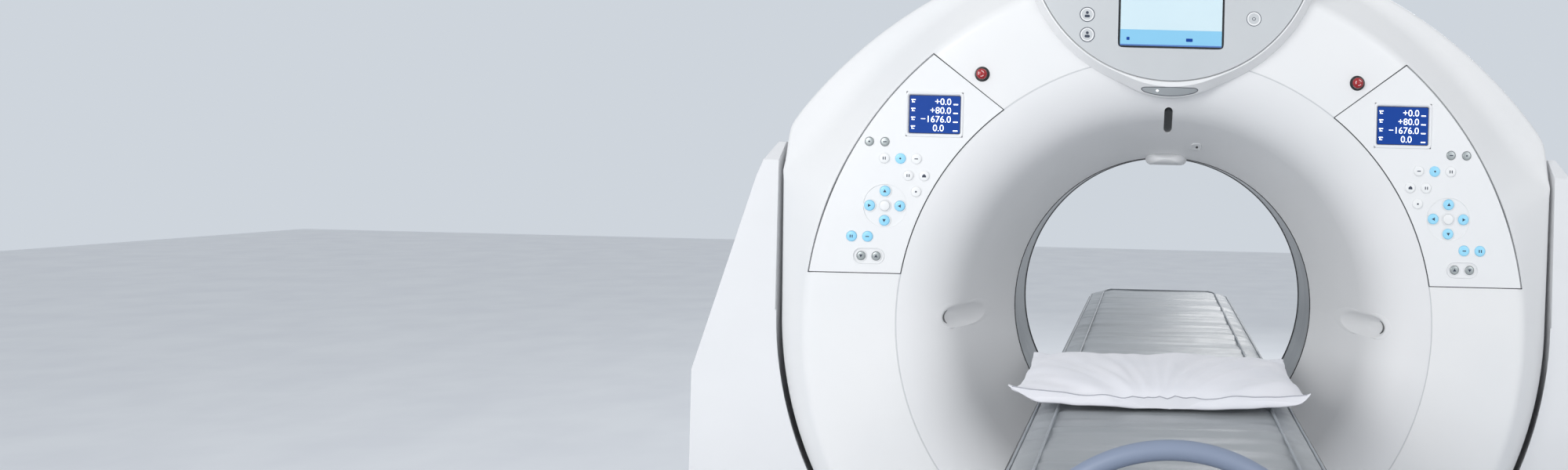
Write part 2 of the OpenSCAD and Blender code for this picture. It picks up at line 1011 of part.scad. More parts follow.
// Rectangular tube with a wall all round
module tube_box(half_x, half_y, wall, z0, z1) {
    translate([0, column_y, z0])
        linear_extrude(height = z1 - z0)
            difference() {
                square([2 * half_x, 2 * half_y], center = true);
                square([2 * (half_x - wall), 2 * (half_y - wall)], center = true);
            }
}

module couch_base_frame() {
    color([0.4, 0.42, 0.45])
    difference() {
        union() {
            for (side = [-1, 1])
                box_from([side * 245 - 35, couch_y0 + 30, 0], [side * 245 + 35, couch_y1 - 30, 50]);
            box_from([-240, couch_y0 + 15, 0], [240, couch_y0 + 115, 50]);
            box_from([-240, couch_y1 - 115, 0], [240, couch_y1 - 6, 50]);
            box_from([-245, column_y - 230, 0], [245, column_y + 230, 40]);
            tube_box(160, 210, 10, 40, 380);
        }
        for (x = [-1, 1])
            for (y = [-1, 1])
                translate([x * 245, column_y + y * 825, -5])
                    cylinder(r = anchor_r, h = 100, $fn = 48);
    }
}

// Long open-ended cover around the couch's column
module couch_shell(half_x, trim, wall, z0, z1) {
    translate([0, 0, z0])
        linear_extrude(height = z1 - z0)
            difference() {
                couch_plan(half_x, trim);
                couch_plan(half_x - wall, trim + wall);
            }
}

// Plan of the couch covers, with rounded corners
module couch_plan(half_x, trim) {
    r = 60 - trim;
    translate([-half_x, couch_y0 + trim + r])
        square([2 * half_x, couch_y1 - couch_y0 - 2 * trim - 2 * r]);
    translate([-half_x + r, couch_y0 + trim])
        square([2 * half_x - 2 * r, couch_y1 - couch_y0 - 2 * trim]);
    for (x = [-1, 1])
        for (y = [couch_y0 + trim + r, couch_y1 - trim - r])
            translate([x * (half_x - r), y])
                circle(r = r, $fn = 64);
}

module couch_base_cover() {
    color([0.92, 0.92, 0.92])
    difference() {
        couch_shell(300, 0, 6, 0, 360);
        translate([0, 0, -5])
            linear_extrude(height = 55)
                translate([0, -700])
                    square([300, 1000], center = true);
    }
}

module lift_column_mid() {
    color([0.7, 0.72, 0.75])
    tube_box(150 - guide_gap, 200 - guide_gap, 10, 130, 530);
}

module couch_mid_cover() {
    color([0.92, 0.92, 0.92])
    union() {
        couch_shell(286, 14, 5, 180, 520);
        translate([0, 0, 410])
            linear_extrude(height = 6)
                difference() {
                    couch_plan(283, 17);
                    translate([0, column_y])
                        square([300 - 2 * guide_gap, 400 - 2 * guide_gap], center = true);
                }
    }
}

module lift_column_inner() {
    color([0.7, 0.72, 0.75])
    tube_box(140 - 2 * guide_gap, 190 - 2 * guide_gap, 10, 240, deck_z);
}

module couch_upper_cover() {
    color([0.92, 0.92, 0.92])
    union() {
        couch_shell(273, 27, 5, 450, deck_z);
        translate([0, 0, deck_z - 6])
            linear_extrude(height = 6)
                difference() {
                    carriage_plan(0);
                    couch_plan(268, 32);
                }
        translate([0, 0, deck_z])
            linear_extrude(height = deck_rise)
                difference() {
                    carriage_plan(0);
                    carriage_plan(6);
                }
        translate([0, 0, deck_z + deck_rise - 6])
            linear_extrude(height = 6)
                difference() {
                    carriage_plan(0);
                    translate([-175, couch_y0 - 110])
                        square([350, 2090]);
                }
    }
}

// Plan of the couch's upper body, moved inward by inset
module carriage_plan(inset) {
    r = 50 - inset;
    half = 290 - inset;
    y0 = couch_y0 - 150 + inset;
    y1 = -760 - inset;
    translate([-half, y0 + r])
        square([2 * half, y1 - y0 - 2 * r]);
    translate([-half + r, y0])
        square([2 * half - 2 * r, y1 - y0]);
    for (x = [-1, 1])
        for (y = [y0 + r, y1 - r])
            translate([x * (half - r), y])
                circle(r = r, $fn = 64);
}

// Lower outline of the couch top in X and height over the floor
module belly_circle(grow) {
    translate([0, belly_r - (pad_drop + belly)])
        circle(r = belly_r + grow, $fn = cover_round);
}

module carriage_frame() {
    color([0.45, 0.47, 0.5])
    union() {
        translate([0, 0, deck_z])
            linear_extrude(height = 15)
                carriage_plan(6);
        for (side = [-1, 1])
            box_from([side * 115 - 15, couch_y0 - 100, deck_z + 15], [side * 115 + 15, -840, rail_z]);
        difference() {
            box_from([-170, -835, deck_z + 15], [170, -775, axis_h - 170]);
            along_y(-850, -760)
                belly_circle(guide_gap);
        }
    }
}

// Plan of the couch top, rounded at the head end
module top_plan(inset, y0, y1, r) {
    half = top_w / 2 - inset;
    translate([-half, y0])
        square([2 * half, y1 - y0 - r]);
    translate([-half + r, y0])
        square([2 * (half - r), y1 - y0]);
    for (x = [-1, 1])
        translate([x * (half - r), y1 - r])
            circle(r = r, $fn = 64);
}

module couch_top() {
    color([0.2, 0.2, 0.22])
    union() {
        intersection() {
            along_y(top_y0, top_y1)
                intersection() {
                    belly_circle(0);
                    translate([14 - top_w / 2, -260])
                        square([top_w - 28, 260 - pad_drop - pad_t - 6]);
                }
            translate([0, 0, axis_h - 300])
                linear_extrude(height = 300)
                    top_plan(8, top_y0, top_y1, 110);
        }
        translate([0, 0, shell_z - 12])
            linear_extrude(height = 12)
                top_plan(0, top_y0, top_y1, 120);
        difference() {
            union() {
                box_from([-150, top_y0 + 20, rail_z + guide_gap], [150, top_y0 + 295, axis_h - 145]);
                for (side = [-1, 1])
                    box_from(
                        [side * 140.25 - 9.75, top_y0 + 20, rail_z - 30],
                        [side * 140.25 + 9.75, top_y0 + 295, rail_z + 10]
                    );
            }
            along_y(top_y0 - 10, top_y1)
                belly_circle(-1);
        }
    }
}

module mattress() {
    color([0.7, 0.71, 0.74])
    union() {
        translate([0, 0, shell_z])
            linear_extrude(height = pad_t - 6)
                top_plan(4, top_y0 + 10, top_y1 - 10, 112);
        translate([0, 0, shell_z + pad_t - 6])
            linear_extrude(height = 6)
                top_plan(44, top_y0 + 14, top_y1 - 50, 80);
    }
}

module end_handle() {
    color([0.62, 0.68, 0.78])
    union() {
        translate([0, top_y0 - handle_r - 1, axis_h - hoop_r + 6])
            rotate([90, 0, 0])
                rotate_extrude(angle = 180, $fn = 180)
                    translate([hoop_r, 0])
                        circle(r = handle_r, $fn = 48);
        box_from(
            [-hoop_r - 20, top_y0 - 2 * handle_r - 2, rail_z + 4],
            [hoop_r + 20, top_y0, rail_z + 37]
        );
        box_from(
            [-120, top_y0 - 12, rail_z + 35],
            [120, top_y0, axis_h - pad_drop - pad_t - 2]
        );
    }
}

module pillow() {
    color([0.93, 0.93, 0.94])
    translate([0, -765, top_z + 19 + 26 * cos(180 / 32)])
        hull()
            for (x = [-1, 1])
                for (y = [-1, 1]) {
                    translate([x * 262, y * 165, 12])
                        sphere(r = 26, $fn = 32);
                    translate([x * 268, y * 170, -19])
                        sphere(r = 26, $fn = 32);
                }
}

base_frame();
left_stand_cover();
right_stand_cover();
lower_stand_cover();
tilt_bearings();
docking_cover();
couch_base_frame();
couch_base_cover();
tilt_frame();
outer_shell();
front_cover();
rear_cover();
front_bore_ring();
rear_bore_ring();
scan_window();
bearing_outer_race();
drive_stator();
slip_ring_brushes();
display_pod();
display_plate();
touch_screen();
status_lamp();
laser_windows();
bore_sensor_housing();
right_control_panel();
left_control_panel();
panel_displays();
fixed_panel_keys();
emergency_collars();
rotor_drum();
bearing_inner_race();
drive_magnet_ring();
xray_tube();
collimator();
rotor_power_units();
detector_arc();
slip_ring();
left_emergency_button();
right_emergency_button();
key_up();
key_down();
key_left();
key_right();
key_centre();
key_grey_1();
key_grey_2();
key_grey_3();
key_grey_4();
key_blue_1();
key_blue_2();
lift_column_mid();
couch_mid_cover();
lift_column_inner();
couch_upper_cover();
carriage_frame();
couch_top();
mattress();
end_handle();
pillow();
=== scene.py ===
"""Looks of a whole-body tomography scanner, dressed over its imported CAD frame."""

import logging
import math
from dataclasses import dataclass, field
from enum import Enum
from typing import ClassVar, Iterable, Sequence

import bmesh
import bpy
from mathutils import Matrix, Vector, noise


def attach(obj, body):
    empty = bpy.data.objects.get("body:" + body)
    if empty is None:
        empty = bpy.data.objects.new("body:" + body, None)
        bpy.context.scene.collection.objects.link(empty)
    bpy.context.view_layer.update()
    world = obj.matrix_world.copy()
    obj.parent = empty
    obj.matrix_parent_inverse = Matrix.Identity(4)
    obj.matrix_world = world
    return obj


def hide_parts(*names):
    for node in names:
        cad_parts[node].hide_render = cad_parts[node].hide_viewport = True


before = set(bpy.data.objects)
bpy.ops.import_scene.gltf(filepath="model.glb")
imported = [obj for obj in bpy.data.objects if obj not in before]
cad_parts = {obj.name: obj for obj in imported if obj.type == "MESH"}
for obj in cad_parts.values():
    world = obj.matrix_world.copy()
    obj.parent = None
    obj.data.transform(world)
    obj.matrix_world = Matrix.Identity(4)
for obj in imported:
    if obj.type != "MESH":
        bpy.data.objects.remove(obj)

LOG = logging.getLogger("scanner")
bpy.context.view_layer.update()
MM = 0.001
AXIS_H = 1.0
FRONT = Vector((0, -1, 0))
Colour = tuple[float, float, float]
Socket = bpy.types.NodeSocket


def srgb(red: int, green: int, blue: int) -> Colour:
    """Turns a colour of 0 to 255 steps into linear light.

    Args:
        red: red step.
        green: green step.
        blue: blue step.

    Returns:
        The linear colour.
    """

    def channel(step: int) -> float:
        """Gives one channel in linear light."""
        c = step / 255
        return c / 12.92 if c <= 0.04045 else ((c + 0.055) / 1.055) ** 2.4

    return channel(red), channel(green), channel(blue)


def at_axis(x: float, y: float, z: float) -> Vector:
    """Gives a point in metres from millimetres, with z counted from the scan axis.

    Args:
        x: place across, in millimetres.
        y: place along the scan axis, in millimetres.
        z: height over the scan axis, in millimetres.

    Returns:
        The point in the row frame.
    """
    return Vector((x * MM, y * MM, AXIS_H + z * MM))


class Body(Enum):
    """CAD bodies that the pieces ride on."""

    STAND = "stand"
    GANTRY = "gantry"
    LIFT = "lift"
    MIDDLE = "lift_mid"
    TOP = "top"
    LEFT_STOP = "left_stop"
    RIGHT_STOP = "right_stop"


class Tree:
    """Short way to add nodes to a node tree and to join them."""

    def __init__(self, tree: bpy.types.NodeTree) -> None:
        """Keeps the tree that the nodes go into."""
        self.tree = tree

    def add(self, kind: str, label: str = "", **sockets: object) -> bpy.types.Node:
        """Adds a node and sets its sockets.

        Args:
            kind: Blender's name of the node class, without its ShaderNode start.
            label: text shown on the node.
            sockets: socket values, by name with underscores for spaces; a socket is linked.

        Returns:
            The node.
        """
        full = kind if kind.startswith("Node") else "ShaderNode" + kind
        node = self.tree.nodes.new(full)
        node.label = label
        for name, value in sockets.items():
            self.set(node, name.replace("_", " "), value)
        return node

    def set(self, node: bpy.types.Node, name: str | int, value: object) -> None:
        """Sets a socket to a value, or links it where the value is a socket."""
        socket = node.inputs[name]
        if isinstance(value, bpy.types.NodeSocket):
            self.tree.links.new(value, socket)
        elif isinstance(value, (tuple, list)) and len(value) == 3 and socket.type == "RGBA":
            socket.default_value = (*value, 1.0)
        else:
            socket.default_value = value

    def maths(self, operation: str, a: object, b: object = 0.0) -> Socket:
        """Adds a Math node.

        Args:
            operation: the Math node's operation.
            a: first value or socket.
            b: second value or socket.

        Returns:
            The result's socket.
        """
        node = self.tree.nodes.new("ShaderNodeMath")
        node.operation = operation
        self.set(node, 0, a)
        self.set(node, 1, b)
        return node.outputs[0]

    def ramp(self, value: object, low: float, high: float) -> Socket:
        """Maps a value between low and high onto 0 to 1, clamped."""
        node = self.tree.nodes.new("ShaderNodeMapRange")
        self.set(node, "Value", value)
        node.inputs["From Min"].default_value = low
        node.inputs["From Max"].default_value = high
        return node.outputs["Result"]

    def mix(self, factor: object, a: object, b: object) -> Socket:
        """Mixes two colours and gives the result's socket."""
        node = self.tree.nodes.new("ShaderNodeMix")
        node.data_type = "RGBA"
        self.set(node, 0, factor)
        for index, value in ((6, a), (7, b)):
            self.set(node, index, value)
        return node.outputs[2]

    def noise(self, vector: object, scale: object, detail: float) -> Socket:
        """Adds a Noise Texture and gives its Fac socket."""
        return self.add("TexNoise", Vector=vector, Scale=scale, Detail=detail).outputs["Fac"]


class Effects:
    """Shader node groups that several finishes share, each built once."""

    _built: dict[str, bpy.types.NodeTree] = {}

    @classmethod
    def get(cls, name: str) -> bpy.types.NodeTree:
        """Gives a group by name, and builds it the first time.

        Args:
            name: one of moulded_grain, handling_marks, pebble_grain, twill and brushed_lines.

        Returns:
            The node group.
        """
        if name not in cls._built:
            tree = bpy.data.node_groups.new(name, "ShaderNodeTree")
            knob = "Amount" if name == "handling_marks" else "Scale"
            for socket, kind in (("Vector", "Vector"), (knob, "Float")):
                tree.interface.new_socket(name=socket, in_out="INPUT", socket_type="NodeSocket" + kind)
            t = Tree(tree)
            start = t.add("NodeGroupInput")
            results = getattr(cls, "_" + name)(t, start.outputs["Vector"], start.outputs[knob])
            for socket in results:
                tree.interface.new_socket(name=socket, in_out="OUTPUT", socket_type="NodeSocketFloat")
            t.add("NodeGroupOutput", **results)
            cls._built[name] = tree
        return cls._built[name]

    @staticmethod
    def _moulded_grain(t: Tree, vector: Socket, scale: Socket) -> dict[str, Socket]:
        """Fine orange-peel of sprayed or moulded plastic."""
        fine = t.noise(vector, scale, 1.5)
        return {"Height": fine, "Mask": t.ramp(t.noise(vector, 2.3, 3.0), 0.35, 0.68)}

    @staticmethod
    def _handling_marks(t: Tree, vector: Socket, amount: Socket) -> dict[str, Socket]:
        """Faint wiping streaks and fingerprints that change the gloss."""
        stretch = t.add("Mapping", Vector=vector, Scale=(9.0, 9.0, 2.0))
        streak = t.noise(stretch.outputs["Vector"], 3.0, 5.0)
        mask = t.ramp(t.maths("MULTIPLY", streak, t.noise(vector, 5.5, 2.0)), 0.18, 0.42)
        return {"Mask": t.maths("MULTIPLY", mask, amount)}

    @staticmethod
    def _pebble_grain(t: Tree, vector: Socket, scale: Socket) -> dict[str, Socket]:
        """Pebbled skin of coated fabric."""
        cells = t.add("TexVoronoi", Vector=vector)
        cells.feature = "DISTANCE_TO_EDGE"
        t.set(cells, "Scale", scale)
        height = t.ramp(cells.outputs["Distance"], 0.0, 0.3)
        return {"Height": height, "Mask": t.ramp(t.noise(vector, 6.0, 3.0), 0.3, 0.7)}

    @staticmethod
    def _twill(t: Tree, vector: Socket, scale: Socket) -> dict[str, Socket]:
        """Over-and-under threads of a woven cloth."""
        waves = []
        for direction in ("X", "Y"):
            wave = t.add("TexWave", Vector=vector, Distortion=0.4, Scale=scale)
            wave.bands_direction = direction
            waves.append(wave.outputs["Fac"])
        height = t.maths("MULTIPLY", waves[0], waves[1])
        return {"Height": height, "Mask": t.ramp(t.noise(vector, 9.0, 2.0), 0.3, 0.7)}

    @staticmethod
    def _brushed_lines(t: Tree, vector: Socket, scale: Socket) -> dict[str, Socket]:
        """Fine parallel lines left by machining."""
        stretch = t.add("Mapping", Vector=vector, Scale=(1.0, 14.0, 14.0))
        lines = t.noise(stretch.outputs["Vector"], scale, 4.0)
        return {"Height": lines, "Mask": t.ramp(lines, 0.3, 0.7)}


@dataclass(frozen=True)
class Finish:
    """A surface finish: one colour with the small variation that a real surface has."""

    name: str
    colour: Colour
    shade: Colour
    roughness: float = 0.4
    roughness_swing: float = 0.12
    metallic: float = 0.0
    coat: float = 0.0
    coat_roughness: float = 0.1
    sheen: float = 0.0
    grain: str = "moulded_grain"
    grain_scale: float = 420.0
    bump: float = 0.03
    bump_depth: float = 0.0004
    marks: float = 0.6
    glow: float = 0.0
    specular: float = 0.5
    made: ClassVar[dict[str, bpy.types.Material]] = {}

    def build(self) -> bpy.types.Material:
        """Gives this finish as a material, made the first time it is asked for."""
        if self.name in Finish.made:
            return Finish.made[self.name]
        material = bpy.data.materials.new(self.name + "_finish")
        Finish.made[self.name] = material
        material.use_nodes = True
        material.node_tree.nodes.clear()
        t = Tree(material.node_tree)
        out = t.add("OutputMaterial")
        shader = t.add("BsdfPrincipled")
        t.set(out, "Surface", shader.outputs[0])
        vector = t.add("TexCoord").outputs["Object"]
        grain = t.add("Group")
        grain.node_tree = Effects.get(self.grain)
        t.set(grain, "Vector", vector)
        grain.inputs["Scale"].default_value = self.grain_scale
        marks = t.add("Group")
        marks.node_tree = Effects.get("handling_marks")
        t.set(marks, "Vector", vector)
        marks.inputs["Amount"].default_value = self.marks
        colour = t.mix(grain.outputs["Mask"], self.colour, self.shade)
        t.set(shader, "Base Color", colour)
        rough = t.maths("MULTIPLY_ADD", marks.outputs["Mask"], self.roughness_swing)
        rough.node.inputs[2].default_value = self.roughness
        t.set(shader, "Roughness", rough)
        bump = t.add("Bump", Height=grain.outputs["Height"])
        bump.inputs["Strength"].default_value = self.bump
        bump.inputs["Distance"].default_value = self.bump_depth
        t.set(shader, "Normal", bump.outputs["Normal"])
        shader.inputs["Metallic"].default_value = self.metallic
        shader.inputs["Coat Weight"].default_value = self.coat
        shader.inputs["Coat Roughness"].default_value = self.coat_roughness
        shader.inputs["Sheen Weight"].default_value = self.sheen
        shader.inputs["Specular IOR Level"].default_value = self.specular
        if self.glow:
            t.set(shader, "Emission Color", colour)
            shader.inputs["Emission Strength"].default_value = self.glow
        return material


class Finishes:
    """All finishes of the scanner."""

    COVER = Finish(
        "cover_white", srgb(236, 236, 236), srgb(231, 232, 233), 0.36, 0.1, coat=0.12, coat_roughness=0.2,
    )
    BORE = Finish(
        "bore_white", srgb(232, 232, 233), srgb(227, 228, 229), 0.42, 0.1, coat=0.08, coat_roughness=0.25,
    )
    PANEL = Finish("panel_white", srgb(236, 237, 238), srgb(232, 233, 234), 0.38, 0.08)
    STAND = Finish("stand_white", srgb(228, 229, 231), srgb(223, 224, 226), 0.42, 0.1)
    SILVER = Finish(
        "silver_plate", srgb(203, 206, 208), srgb(198, 201, 203), 0.34, 0.08, metallic=0.15, coat=0.15,
    )
    # Dark grey for the cords in the panel joints: painted shadow of the gap.
    JOINT_SHADOW = Finish("seam_shadow", srgb(60, 62, 64), srgb(52, 54, 56), 0.7, 0.1)
    FILM = Finish(
        "window_film", srgb(122, 127, 130), srgb(112, 117, 120), 0.3, 0.12, coat=0.4, grain_scale=90.0,
    )
    BLACK = Finish("black_plastic", srgb(22, 22, 24), srgb(28, 28, 30), 0.3, 0.15, coat=0.2)
    RED = Finish("button_red", srgb(168, 18, 26), srgb(150, 12, 22), 0.32, 0.12, coat=0.15)
    BLUE_KEY = Finish(
        "key_blue", srgb(150, 212, 238), srgb(138, 202, 232), 0.35, 0.1, coat=0.15, glow=0.12,
    )
    WHITE_KEY = Finish("key_white", srgb(240, 241, 241), srgb(232, 233, 234), 0.35, 0.1, coat=0.15)
    GREY_KEY = Finish("key_grey", srgb(172, 178, 178), srgb(160, 166, 166), 0.32, 0.1, metallic=0.5)
    STEEL = Finish("frame_paint", srgb(150, 153, 158), srgb(140, 143, 148), 0.5, 0.15, bump=0.08)
    BEARING = Finish(
        "ground_steel", srgb(186, 188, 190), srgb(172, 174, 177), 0.28, 0.15, metallic=1.0,
        grain="brushed_lines", grain_scale=60.0,
    )
    ALUMINIUM = Finish(
        "machined_aluminium", srgb(200, 203, 206), srgb(188, 191, 195), 0.32, 0.15, metallic=1.0,
        grain="brushed_lines", grain_scale=50.0,
    )
    COPPER = Finish(
        "varnished_copper", srgb(176, 112, 66), srgb(150, 92, 54), 0.35, 0.2, metallic=0.9,
        grain="brushed_lines", grain_scale=110.0,
    )
    BRASS = Finish(
        "polished_brass", srgb(204, 168, 92), srgb(186, 150, 80), 0.22, 0.12, metallic=1.0,
        grain="brushed_lines", grain_scale=80.0,
    )
    HOUSING = Finish("housing_grey", srgb(168, 172, 178), srgb(156, 160, 166), 0.42, 0.12)
    CARBON = Finish(
        "lacquered_carbon", srgb(44, 45, 48), srgb(30, 31, 33), 0.28, 0.1, coat=0.5, grain="twill",
        grain_scale=180.0, bump=0.1,
    )
    VINYL = Finish(
        "pad_vinyl", srgb(162, 166, 169), srgb(153, 158, 162), 0.3, 0.14, grain="pebble_grain",
        grain_scale=620.0, bump=0.08, coat=0.12, coat_roughness=0.35,
    )
    WELT = Finish(
        "pad_welt", srgb(160, 165, 170), srgb(150, 155, 161), 0.38, 0.12, grain="pebble_grain",
        grain_scale=620.0, bump=0.08,
    )
    HANDLE = Finish("handle_blue", srgb(136, 147, 168), srgb(128, 140, 162), 0.46, 0.12)
    COTTON = Finish(
        "pillow_cotton", srgb(232, 232, 237), srgb(225, 226, 232), 0.85, 0.05, grain="twill",
        grain_scale=900.0, bump=0.15, bump_depth=0.0006, marks=0.2, sheen=0.25,
    )
    # Darker cotton for the cord along the hem's crease: painted shadow under the folded edge.
    HEM_CREASE_SHADOW = Finish(
        "pillow_crease_shadow", srgb(176, 178, 186), srgb(168, 170, 178), 0.85, 0.05, grain="twill",
        grain_scale=900.0,
    )
    LAMP = Finish("lamp_lens", srgb(186, 190, 192), srgb(172, 177, 180), 0.14, 0.1, coat=0.6)
    DARK_GLASS = Finish(
        "dark_glass", srgb(16, 17, 20), srgb(12, 13, 16), 0.12, 0.1, coat=0.6, grain_scale=40.0, bump=0.0,
    )
    GASKET = Finish("joint_gasket", srgb(206, 208, 210), srgb(200, 202, 205), 0.5, 0.1)
    RIM = Finish("lamp_rim", srgb(104, 108, 112), srgb(94, 98, 102), 0.35, 0.1)
    INK = Finish("mark_ink", srgb(52, 60, 78), srgb(46, 54, 70), 0.5, 0.05)
    MARK = Finish("button_mark", srgb(226, 190, 190), srgb(218, 180, 180), 0.4, 0.05)
    PICTURE = Finish(
        "screen_picture", srgb(192, 210, 216), srgb(184, 204, 212), 0.3, 0.05,
        glow=0.3, specular=0.2, grain_scale=30.0, bump=0.0,
    )
    BAND = Finish(
        "screen_band", srgb(130, 184, 212), srgb(122, 178, 208), 0.3, 0.05, glow=0.3, specular=0.2,
        bump=0.0,
    )
    LINE = Finish(
        "screen_line", srgb(84, 118, 176), srgb(78, 110, 168), 0.3, 0.05, glow=0.3, specular=0.2, bump=0.0,
    )
    TILE = Finish(
        "screen_tile", srgb(206, 216, 221), srgb(200, 211, 217), 0.3, 0.05, glow=0.3, specular=0.2,
        bump=0.0,
    )
    DIGIT = Finish(
        "display_digits", srgb(244, 247, 252), srgb(240, 244, 250), 0.4, 0.05, glow=0.9, bump=0.0,
    )
    LCD = Finish(
        "display_blue", srgb(16, 60, 138), srgb(14, 55, 130), 0.4, 0.06, glow=0.35, specular=0.15,
        bump=0.0,
    )


class Mesh:
    """A bmesh on its way to becoming one piece of the object."""

    def __init__(self, name: str) -> None:
        """Starts an empty piece."""
        self.name = name
        self.bm = bmesh.new()

    def row(self, places: Iterable[Vector]) -> list[bmesh.types.BMVert]:
        """Adds a row of vertices at places in metres."""
        return [self.bm.verts.new(place) for place in places]

    def join(self, rows: Sequence[Sequence[bmesh.types.BMVert]], closed: bool = False) -> None:
        """Fills the strips between rows of vertices with faces.

        Args:
            rows: rows of one length.
            closed: whether each row closes on itself.
        """
        for a, b in zip(rows, rows[1:]):
            for k in range(len(a) if closed else len(a) - 1):
                n = (k + 1) % len(a)
                self.bm.faces.new((a[k], a[n], b[n], b[k]))

    def block(self, low: Vector, high: Vector, round_by: float, segments: int) -> None:
        """Adds a box with rounded edges.

        Args:
            low: lowest corner, in metres.
            high: highest corner, in metres.
            round_by: radius of the edges, in metres.
            segments: faces around each edge.
        """
        place = Matrix.Translation((low + high) / 2) @ Matrix.Diagonal((*(high - low), 1.0))
        made = bmesh.ops.create_cube(self.bm, size=1.0, matrix=place)["verts"]
        bmesh.ops.bevel(
            self.bm, geom=list({e for v in made for e in v.link_edges}), offset=round_by,
            offset_type="OFFSET", affect="EDGES", segments=segments, profile=0.5, material=-1,
            clamp_overlap=True,
        )

    def lathe(self, profile: Sequence[tuple[float, float]], centre: Vector, steps: int) -> None:
        """Spins a profile about an axis along Y.

        Args:
            profile: radius and place along the axis, in millimetres.
            centre: point on the axis, in metres.
            steps: faces around.
        """
        start, axis = Vector((1, 0, 0)), Vector((0, 1, 0))
        points = self.row(centre + start * (r * MM) + axis * (a * MM) for r, a in profile)
        edges = [self.bm.edges.new(pair) for pair in zip(points, points[1:])]
        before = set(self.bm.verts) - set(points)
        bmesh.ops.spin(
            self.bm, geom=points + edges, cent=centre, axis=axis, dvec=(0, 0, 0),
            angle=math.tau, steps=steps, use_merge=True, use_duplicate=False,
        )
        made = [v for v in self.bm.verts if v not in before]
        bmesh.ops.remove_doubles(self.bm, verts=made, dist=1e-6)

    def prism(self, outline: Iterable[Vector], push: Vector) -> None:
        """Extrudes a closed outline by a push, both in metres."""
        face = self.bm.faces.new(self.row(outline))
        made = bmesh.ops.extrude_face_region(self.bm, geom=[face])["geom"]
        moved = [g for g in made if isinstance(g, bmesh.types.BMVert)]
        bmesh.ops.translate(self.bm, verts=moved, vec=push)

    def slab(self, outline: Sequence[tuple[float, float]], y: float, thick: float) -> None:
        """Adds a flat slab of an outline with its front at y, in millimetres."""
        self.prism([at_axis(x, y + thick, z) for x, z in outline], Vector((0, -thick * MM, 0)))

    def tube(self, path: Sequence[Vector], r: float, closed: bool = False, wave: float = 0.0) -> None:
        """Adds a round cord along a path.

        Args:
            path: points in millimetres, z from the axis.
            r: radius of the cord.
            closed: whether the path closes.
            wave: how far the cord waves off its path.
        """
        rows = []
        count, facets = len(path), 12
        for k, p in enumerate(path):
            after = path[(k + 1) % count] if closed or k + 1 < count else p
            before = path[k - 1] if closed or k else p
            way = (after - before).normalized()
            side = way.cross(Vector((0, 0, 1)))
            side = side.normalized() if side.length > 1e-4 else Vector((1, 0, 0))
            up = side.cross(way)
            shift = side * (wave * noise.noise(Vector((p.x * 0.01, p.y * 0.03, 0.0))))
            rows.append(self.row(
                at_axis(*(p + shift + side * (r * math.cos(a)) + up * (r * math.sin(a))))
                for a in (math.tau * n / facets for n in range(facets))
            ))
        self.join(rows + rows[:1] if closed else rows, closed=True)
        if not closed:
            self.bm.faces.new(rows[0])
            self.bm.faces.new(rows[-1])

    def piece(
        self,
        body: Body | str,
        finish: Finish,
        slot: str,
        nodes: Iterable[str] = (),
        smooth: float = 40.0,
        thick: float = 0.0,
        outward: Vector | None = None,
        weighted: bool = True,
    ) -> bpy.types.Object:
        """Closes the mesh and makes it a piece of the object.

        Args:
            body: the CAD body that it rides on.
            finish: its finish.
            slot: the record's material slot; not used.
            nodes: CAD nodes that it stands for.
            smooth: angle in degrees below which edges are shaded smooth.
            thick: wall thickness in millimetres of an open skin.
            outward: the side that the faces of an open skin show.
            weighted: whether big faces rule the shading.

        Returns:
            The new object.
        """
        bmesh.ops.remove_doubles(self.bm, verts=self.bm.verts, dist=1e-6)
        bmesh.ops.recalc_face_normals(self.bm, faces=self.bm.faces)
        if outward is not None:
            facing = sum((f.normal * f.calc_area() for f in self.bm.faces), Vector())
            if facing.dot(outward) < 0:
                bmesh.ops.reverse_faces(self.bm, faces=self.bm.faces)
        data = bpy.data.meshes.new(self.name)
        self.bm.to_mesh(data)
        self.bm.free()
        obj = bpy.data.objects.new(self.name, data)
        bpy.context.scene.collection.objects.link(obj)
        data.materials.append(finish.build())
        Mesh.shade(obj, smooth)
        if thick:
            wall = obj.modifiers.new("wall", "SOLIDIFY")
            wall.thickness = thick * MM
            wall.offset = -1.0
        elif weighted:
            Mesh.weigh(obj, smooth)
        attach(obj, body.value if isinstance(body, Body) else body)
        if nodes:
            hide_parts(*nodes)
        LOG.info("%s: %d faces", self.name, len(data.polygons))
        return obj

    @staticmethod
    def shade(obj: bpy.types.Object, angle: float) -> None:
        """Shades an object smooth, with edges sharper than the angle kept."""
        limit = math.radians(angle)
        bm = bmesh.new()
        bm.from_mesh(obj.data)
        for face in bm.faces:
            face.smooth = True
        for edge in bm.edges:
            edge.smooth = len(edge.link_faces) == 2 and edge.calc_face_angle(0.0) < limit
        bm.to_mesh(obj.data)
        bm.free()

    @staticmethod
    def weigh(obj: bpy.types.Object, angle: float) -> None:
        """Sets normals so that big flat faces stay flat beside their round edges."""
        limit = math.cos(math.radians(angle))
        data = obj.data
        faces = [(f.normal.copy(), f.area, tuple(f.vertices)) for f in data.polygons]
        around: list[list[int]] = [[] for _ in data.vertices]
        for index, (_, _, corners) in enumerate(faces):
            for corner in corners:
                around[corner].append(index)
        normals = []
        for normal, _, corners in faces:
            for corner in corners:
                total = Vector()
                for index in around[corner]:
                    other, area, _ = faces[index]
                    if other.dot(normal) > limit:
                        total += other * area
                normals.append(total.normalized() if total.length > 0 else normal)
        data.normals_split_custom_set(normals)


